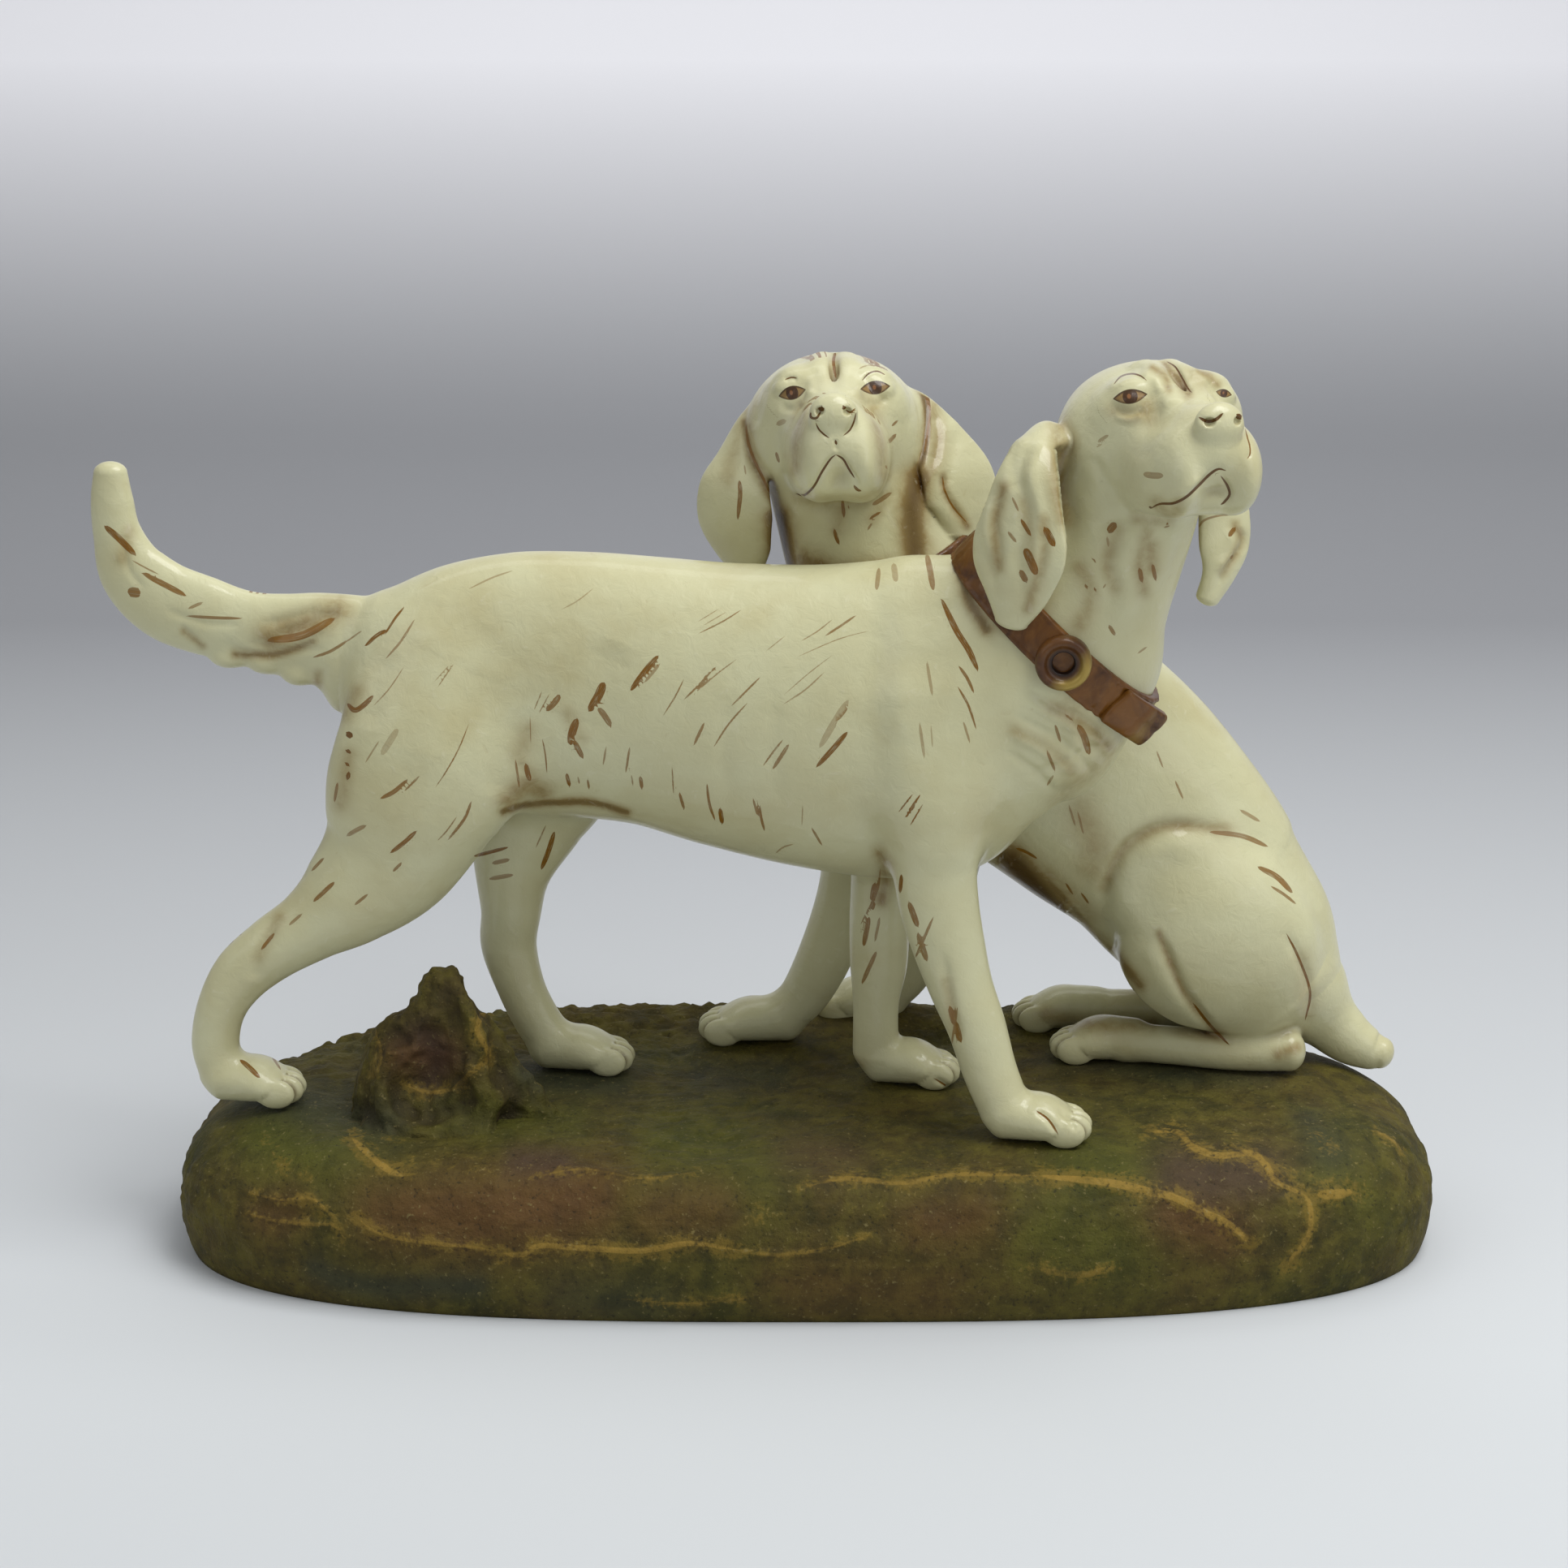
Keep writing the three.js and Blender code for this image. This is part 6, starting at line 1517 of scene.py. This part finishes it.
# %% Lines of the ground
GROUND_VEINS = traced(
    # left end
    (0.6, 0.7, 306, 1469, 347, 1479, 379, 1476, 399, 1488, 408, 1498),
    (0.7, 0.6, 303, 1495, 341, 1504, 386, 1509, 411, 1510, 424, 1527),
    (1.1, 1.0, 434, 1402, 450, 1418, 472, 1437, 497, 1450),
    (0.7, 0.8, 440, 1501, 462, 1517, 501, 1527, 539, 1533, 577, 1536, 619, 1544),
    # front
    (1.0, 1.0, 619, 1544, 644, 1546, 666, 1535, 720, 1538, 790, 1541, 850, 1532, 905, 1540),
    (0.6, 0.6, 905, 1540, 960, 1546, 1020, 1538, 1075, 1520),
    (0.5, 0.6, 660, 1450, 720, 1441, 790, 1452, 860, 1444),
    (0.8, 0.7, 980, 1465, 1040, 1452, 1110, 1458, 1180, 1447, 1280, 1449),
    # right end
    (1.3, 1.0, 1280, 1449, 1328, 1453, 1376, 1459, 1414, 1468, 1446, 1475, 1484, 1494, 1516, 1510, 1541,
     1532),
    (1.1, 0.9, 1417, 1394, 1452, 1395, 1471, 1414, 1503, 1424, 1541, 1421, 1561, 1437, 1573, 1456, 1608,
     1472), (0.9, 0.8, 1608, 1472, 1615, 1491, 1612, 1523, 1586, 1558),
    (1.6, 0.8, 1624, 1472, 1645, 1471, 1666, 1469), (0.6, 0.6, 1694, 1392, 1716, 1405, 1728, 1418),
    # rim
    (1.2, 0.5, 1280, 1564, 1328, 1571, 1376, 1561), (0.6, 0.5, 760, 1600, 850, 1606, 930, 1598),
    # stump
    (0.9, 0.8, 586, 1205, 599, 1235, 588, 1268, 602, 1300, 580, 1322, 560, 1340),
    (0.8, 0.7, 500, 1336, 530, 1346, 570, 1340), (0.6, 0.6, 462, 1268, 470, 1300, 462, 1325))
RAISED_VEINS = 15  # the rest lie on the stump or are paint alone
GROUND_CUTS = [Stroke(1.9 * vein.half, -0.55, *vein.places) for vein in GROUND_VEINS[:RAISED_VEINS]]
GROUND_CUTS += traced(
    # a long hollow low on the left, and a crack above it
    (2.2, 0.7, 389, 1563, 418, 1577, 475, 1587, 539, 1584, 587, 1585),
    (1.2, 0.5, 300, 1478, 340, 1490, 385, 1497, 405, 1505))
GROUND_PATCHES = {
    "ochre": traced(
        (5, 0.55, 480, 1400, 520, 1430, 600, 1440), (6, 0.5, 1480, 1400, 1540, 1410, 1590, 1440),
        (5, 0.55, 600, 1530, 700, 1545, 780, 1540), (6, 0.5, 1300, 1440, 1360, 1450, 1420, 1460),
        (5, 0.55, 1620, 1400, 1660, 1430, 1680, 1470), (4, 0.6, 1080, 1440, 1120, 1425, 1160, 1430),
        (6, 0.45, 900, 1500, 1000, 1490, 1100, 1500), (4, 0.55, 330, 1400, 350, 1440, 380, 1450)),
    "rust": traced(
        (14, 0.9, 480, 1490, 560, 1495, 640, 1490, 720, 1480), (10, 0.6, 800, 1500, 880, 1490),
        (9, 0.8, 1450, 1500, 1500, 1515), (9, 0.7, 1140, 1510, 1200, 1500), (7, 0.9, 500, 1300, 545, 1300),
        (8, 0.6, 330, 1500, 360, 1490), (12, 0.5, 1000, 1590, 1150, 1600)),
    "violet": traced(
        (9, 0.9, 1455, 1440, 1500, 1450, 1550, 1445), (5, 0.9, 640, 1430, 690, 1432),
        (6, 0.9, 525, 1275, 540, 1305, 530, 1330), (8, 0.5, 980, 1420, 1040, 1425)),
    # painted shade: dark patches in the low places and on the ground under the hounds
    "shade": traced(
        (4, 0.9, 389, 1563, 418, 1577, 475, 1587, 539, 1584, 587, 1585),
        (7, 0.8, 330, 1355, 400, 1370, 470, 1385), (6, 0.7, 1610, 1380, 1640, 1420),
        (6, 0.9, 650, 1322, 700, 1330, 760, 1332), (3.5, 0.9, 285, 1352, 340, 1356),
        (5, 0.7, 860, 1330, 960, 1322), (5, 0.7, 1300, 1300, 1420, 1318, 1560, 1322),
        (9, 0.5, 700, 1600, 800, 1612)),
    "moss": traced(
        (12, 0.9, 330, 1400, 400, 1420, 470, 1450), (9, 0.8, 560, 1370, 620, 1380, 700, 1390),
        (12, 0.7, 820, 1410, 930, 1440), (12, 0.8, 1320, 1420, 1380, 1440), (14, 0.7, 1300, 1520, 1380, 1540),
        (10, 0.6, 1650, 1440, 1700, 1500))}
GROUND_PATCHES["ochre"] += [Stroke(2.6 * vein.half + 1.4, 0.5 + 0.5 * vein.force, *vein.places)
                            for vein in GROUND_VEINS]

# %% Base
HALF_LENGTH, HALF_DEPTH, PLAN_POWER = 192.0, 76.5, 2.9
BULGE_HEIGHT, ROLL_HEIGHT, RIDGE_HEIGHT = 18.0, 26.0, 4.5
ROLL_START = 0.752  # share of the way out where the edge begins to roll over
RIDGE_START, RIDGE_FULL = 38, 64  # mm behind the middle
FOOT_INSET, WALL, ROOF = 4.0, 10.0, 7.0  # mm
ROOF_EDGE = 12.0  # mm above the table, where the roof of the hollow meets its wall
HOLLOW_ROWS, FOOT_ROWS = 12, 13
PAW_ROOM, PAW_FADE = 7.0, 9.0  # mm: the ground is flat so far round a paw, then its relief comes back
ALMOST_NOUGHT = 0.003  # share: the grid ends in a tiny ring, which is capped


def mound_height(share, y):
    """bulge + roll · sqrt(1 - out^2.4) + ridge · sqrt(1 - out^6), with `out` 0 to 1 over the rolled edge."""
    out = np.clip((share - ROLL_START) / (1 - ROLL_START), 0, 1)
    t = np.clip((y - RIDGE_START) / (RIDGE_FULL - RIDGE_START), 0, 1)
    ridge = RIDGE_HEIGHT * t * t * (3 - 2 * t)
    return BULGE_HEIGHT + ROLL_HEIGHT * np.sqrt(1 - out**2.4) + ridge * np.sqrt(1 - out**6)


def base_grid(rings, columns):
    """Rows from the middle of the hollow's roof, down its wall, round the foot and up over the mound."""
    angle = np.linspace(0, 2 * math.pi, columns, endpoint=False)[None, :]
    foot = np.linspace(0, 1, FOOT_ROWS + 1)[:-1, None]
    inset = np.vstack([FOOT_INSET * (1 - np.sin(foot * math.pi / 2)) ** 1.2, np.zeros((rings, 1))])
    share = np.vstack([np.ones((FOOT_ROWS, 1)), 1 - (1 - np.cos(np.linspace(0, math.pi / 2, rings)))[:, None]])
    share[-1] = ALMOST_NOUGHT
    cos, sin = (np.sign(v) * np.abs(v) ** (2 / PLAN_POWER) for v in (np.cos(angle), np.sin(angle)))
    x, y = cos * (HALF_LENGTH - inset) * share, sin * (HALF_DEPTH - inset) * share
    z = mound_height(share * np.ones_like(angle), y)
    z[:FOOT_ROWS] = foot * BULGE_HEIGHT
    outer = np.stack([x, y, z], -1)
    share = np.concatenate([[ALMOST_NOUGHT], np.linspace(0.15, 1, HOLLOW_ROWS - 3), [1, 1]])[:, None]
    x, y = cos * ((HALF_LENGTH - WALL) * share), sin * ((HALF_DEPTH - WALL) * share)
    z = mound_height(share * 0.94 * np.ones_like(angle), y) - ROOF
    z[-2:] = np.array([[ROOF_EDGE], [0.0]])
    return np.concatenate([np.stack([x, y, z], -1), outer])


def standing_places():
    """Points under every paw, hind foot and tail, where the ground keeps its height."""
    places = []
    for paws, place in ((STANDING_PAWS, STANDING_PLACE), (SEATED_PAWS, SEATED_PLACE)):
        rows = np.array([(x, side, 0) for heel, side, toes, _ in paws.values()
                         for x in np.linspace(heel, toes, 4)])
        places.append(to_base(rows, rows, place)[0])
    for part in ("near_hind_foot", "far_hind_foot", "tail"):
        rows = np.array(SEATED[part])[:, :3]
        places.append(to_base(rows, rows, SEATED_PLACE)[0])
    return np.vstack(places)[:, :2]


def ground_marks(points, normals):
    marks = dict(zip(STROKE_MARKS, paint(points, normals, GROUND_VEINS)))
    return marks | {name: wash_and_shade(points, normals, strokes) for name, strokes in GROUND_PATCHES.items()}


def ground_base(material):
    """The mound with a rough skin: rolling lumps, moss crumbs along the back, ridges where the veins run."""
    rings, columns = (70, 300) if COARSE > 1 else (134, 600)
    grid = base_grid(rings, columns)
    normals = grid_normals(grid)
    top = np.clip((grid[..., 2] - 2) / 12, 0, 1)
    top[:HOLLOW_ROWS] = 0
    behind = np.clip((grid[..., 1] - 30) / 20, 0, 1) * np.clip((grid[..., 2] - 30) / 10, 0, 1)
    crumbs = np.abs(lumps_of(grid, 4.5, 5)) + 0.7 * np.abs(lumps_of(grid, 2.6, 6))
    relief = 0.55 * lumps_of(grid, 14, 1) + 0.4 * lumps_of(grid, 5, 2) + 0.2 * lumps_of(grid, 2.4, 3) - 1.35
    relief = 1.25 * relief + behind * (1.6 * crumbs - 0.5) + 0.55 * crumbs
    away = np.min([np.hypot(grid[..., 0] - x, grid[..., 1] - y) for x, y in standing_places()], axis=0)
    free = np.clip((away - PAW_ROOM) / PAW_FADE, 0.12, 1)
    grid = grid + normals * (np.minimum(relief, 0) * top * free)[..., None]
    points, normals = carve(grid.reshape(-1, 3), grid_normals(grid).reshape(-1, 3), GROUND_CUTS)
    points[:, 2] = np.maximum(points[:, 2], 0)
    return closed_mesh("mossy_base", points.reshape(grid.shape), None, material, ground_marks(points, normals))

# %% [markdown]
# ## The ground's colours
# The ground's colours are matt and fired in: olive over brown, rust and violet patches, bright moss, and thin
# ochre veins along the ridges. A blue-green painted shade lies in the low places and on the ground under the
# hounds, and the stump's hollow is darkened as painted shade. Fine specks and crumbs make it look like earth.

# %% Ground colours
OLIVE, BROWN = (0.050, 0.047, 0.010), (0.078, 0.056, 0.014)
MOSS_LIGHT, MOSS_DARK = (0.118, 0.100, 0.018), (0.022, 0.022, 0.009)
VEIN, VEIN_DUST, RECESS_SHADE = (0.29, 0.185, 0.036), (0.19, 0.125, 0.022), (0.014, 0.009, 0.006)
SPECK, PIT = (0.22, 0.18, 0.07), (0.016, 0.015, 0.008)
PATCH_TINTS = {  # colour and share
    "moss": ((0.072, 0.080, 0.012), 0.8), "rust": ((0.105, 0.046, 0.018), 0.85),
    "violet": ((0.062, 0.036, 0.028), 0.85), "shade": ((0.030, 0.037, 0.026), 0.85)}


def ground_paint():
    finish = Finish("painted ground", specular=0.15)
    wide, mid, fine = finish.noise(22, 4, 0.6, 0.4), finish.noise(120, 4, 0.65, 0.3), finish.noise(700, 3, 0.6)
    colour = finish.mix(wide.step(0.35, 0.65), OLIVE, BROWN)
    colour = finish.mix(mid.step(0.45, 0.68) * 0.7, colour, MOSS_LIGHT)
    colour = finish.mix((1 - mid).step(0.52, 0.72) * 0.6, colour, MOSS_DARK)
    speck = mid * 0.8 + 0.45
    for key, (tint, share) in PATCH_TINTS.items():
        colour = finish.mix((finish.attribute(key) * speck).clamp() * share, colour, tint)
    across, along, width, force = (finish.attribute(name) for name in STROKE_MARKS)
    pulled = finish.node("ShaderNodeCombineXYZ", X=across * 1.2, Y=along * 0.5)
    ragged = finish.noise(1.0, 3, 0.7, vector=pulled)
    vein = ((width + (ragged - 0.5) * 2.4 - across.math("ABSOLUTE")) / 0.6).clamp() * force
    vein = vein * (mid * 2.4 + fine * 1.2 - 1.1).clamp()
    dust = finish.attribute("ochre") + (mid - 0.5) * 2.2 + (fine - 0.5) * 1.5
    colour = finish.mix(dust.step(0.62, 1.0) * 0.55, colour, VEIN_DUST)
    colour = finish.mix(vein * 0.8, colour, VEIN)
    # painted shade: the stump's hollow is darkened nearly to black
    colour = finish.mix(finish.attribute("deep") * 0.85, colour, RECESS_SHADE)
    colour = finish.mix(fine.step(0.62, 0.74) * 0.6, colour, SPECK)
    colour = finish.mix((fine * -1).step(-0.40, -0.30) * 0.6, colour, PIT)
    bump = finish.bump(mid * 0.6 + fine * 0.4, 0.0016, 0.8)
    return finish.shade(Base_Color=colour, Roughness=0.7, Normal=bump)


ground = ground_paint()
finish_piece(ground_base(ground), "ground_base")

# %% [markdown]
# ## The stump
# A broken stump between the hind legs, built from clay lumps like the hounds: a leaning trunk, a lower
# shoulder at its left, a root that runs off to the right, a bark ridge, and a rotten hollow pressed into the
# front. The inside of the hollow is darkened nearly to black as painted shade.

# %% Stump
STUMP = (  # blend, direction across, sections
    (4, (1, 0, 0), [  # trunk
        [-109, -14, 37, 25, 16], [-109, -14, 50, 21, 14], [-109.5, -15, 62, 16.5, 12],
        [-109.5, -15, 74, 11.5, 9.5], [-108.5, -15, 84, 7, 6.5]]),
    (3.5, (1, 0, 0), [  # shoulder
        [-125, -15, 38, 14, 12], [-125.5, -15, 52, 11, 10], [-124.5, -15, 63, 8.5, 8],
        [-123, -15, 71, 4.6, 5]]),
    (5, (0, 1, 0), [  # root to the right
        [-99, -16, 70, 5, 6], [-93, -16, 56, 6.5, 8], [-86, -16, 46, 7, 8], [-80, -16, 40, 7, 6]]),
    (4, (1, 0, 0), [  # bark beside the hollow, right
        [-103, -22, 82, 3, 3], [-98, -24, 70, 4, 4], [-99, -26, 60, 4, 4], [-95, -27, 50, 5, 5],
        [-99, -28, 43, 5, 5]]),
    (4, (1, 0, 0), [[-124, -24, 64, 3, 3], [-127, -26, 52, 4, 4], [-124, -28, 42, 5, 5]]),  # and left
    (3, (0, 1, 0), [[-130, -26, 41, 6, 5], [-112, -31, 40, 7, 6], [-95, -30, 41, 6, 5]]))  # roots in front
STUMP_HOLLOW = (  # place, half sizes, turn
    ((-112, -31, 60), (8, 9, 11), 0), ((-110, -29, 70), (5, 7, 7), 20), ((-117, -30, 55), (5.5, 7, 7), -20))
STUMP_BOX = np.array([-150.0, -45, 28]), np.array([-66.0, 6, 96])


def tree_stump(material):
    clay = Clay()
    for blend, across, rows in STUMP:
        clay.add("stump", Lump(rows, blend, across))
    for at, sizes, turn in STUMP_HOLLOW:
        clay.groove(Egg(at, sizes, 3, turn))
    step = 0.8 * COARSE
    points, faces = surface(clay, *STUMP_BOX, step)
    points, normals = settle(clay, points, step)
    hollow = np.clip(1 - clay.field(points + normals * HOLLOW_REACH) / HOLLOW_REACH, 0, 1)
    bark = 1.6 * np.abs(lumps_of(points * [1, 1, 0.4], 5, 21)) + 0.7 * lumps_of(points, 2.6, 22) - 1.5
    points = points + normals * bark[:, None]
    marks = ground_marks(points, normals)
    marks["violet"] = np.maximum(marks["violet"], hollow)
    # painted shade: the inside of the hollow is marked to be darkened nearly to black
    marks["deep"] = np.clip(1.6 * hollow - 0.35 - 0.3 * bark, 0, 1)
    return mesh_object("hollow_stump", points, faces, None, marks, material)


finish_piece(tree_stump(ground), "tree_stump")

# %% [markdown]
# ## The collars' glaze
# The collars are painted as worn leather: a dark and a light brown run into each other in streaks. The folded
# end is lighter where it was handled, and the eyelet's gold, partly gilt and partly a painted highlight, lets
# the brown through; its dish is painted dark as shade.

# %% Glaze and collars
LEATHER_DARK, LEATHER, LEATHER_WORN = (0.052, 0.017, 0.003), (0.170, 0.066, 0.008), (0.22, 0.10, 0.025)
GILT_AND_HIGHLIGHT_GOLD, GILT_GROUND, DISH_SHADE = (0.42, 0.30, 0.07), (0.06, 0.025, 0.012), (0.012, 0.005, 0.003)
FOLD_OCHRE = (0.25, 0.16, 0.04)


def collar_glaze(name, attribute=None):
    finish = Finish(name, specular=0.25)
    streak, fine = finish.noise(60, 4, 0.6, 0.8), finish.noise(500, 3, 0.6)
    colour = finish.mix(streak.step(0.35, 0.65), LEATHER_DARK, LEATHER)
    colour = finish.mix(fine.step(0.5, 0.75) * 0.4, colour, LEATHER_WORN)
    if attribute == "gilt":
        # partly gilt and partly a painted highlight: gold on the eyelet's lower right side
        gilt_and_highlight_share = (finish.attribute("gilt") * (streak + 0.7)).clamp()
        colour = finish.mix(gilt_and_highlight_share * 0.85, finish.mix(0.4, colour, GILT_GROUND), GILT_AND_HIGHLIGHT_GOLD)
        # painted shade: the eyelet's dish is darkened nearly to black
        colour = finish.mix(finish.attribute("deep"), colour, DISH_SHADE)
        finish.shade(Metallic=gilt_and_highlight_share * 0.5)
    if attribute == "fold":
        colour = finish.mix(finish.attribute("fold") * streak.step(0.4, 0.6) * 0.75, colour, FOLD_OCHRE)
    return finish.shade(Base_Color=colour, Roughness=0.42, Coat_Weight=0.25, Coat_Roughness=0.15)


strap_brown = collar_glaze("collar brown")
standing_band = neck_frame(STANDING["neck"], station=3, lean=10)
seated_band = neck_frame(SEATED["neck"], station=2.3, lean=0)
collar("standing", standing_band, STANDING_PLACE, (30, 36, 41), strap_brown)
collar("seated", seated_band, SEATED_PLACE, (), strap_brown)
eyelet(standing_band, STANDING_PLACE, collar_glaze("eyelet gilt", "gilt"))
strap_end(standing_band, STANDING_PLACE, collar_glaze("strap end brown", "fold"))
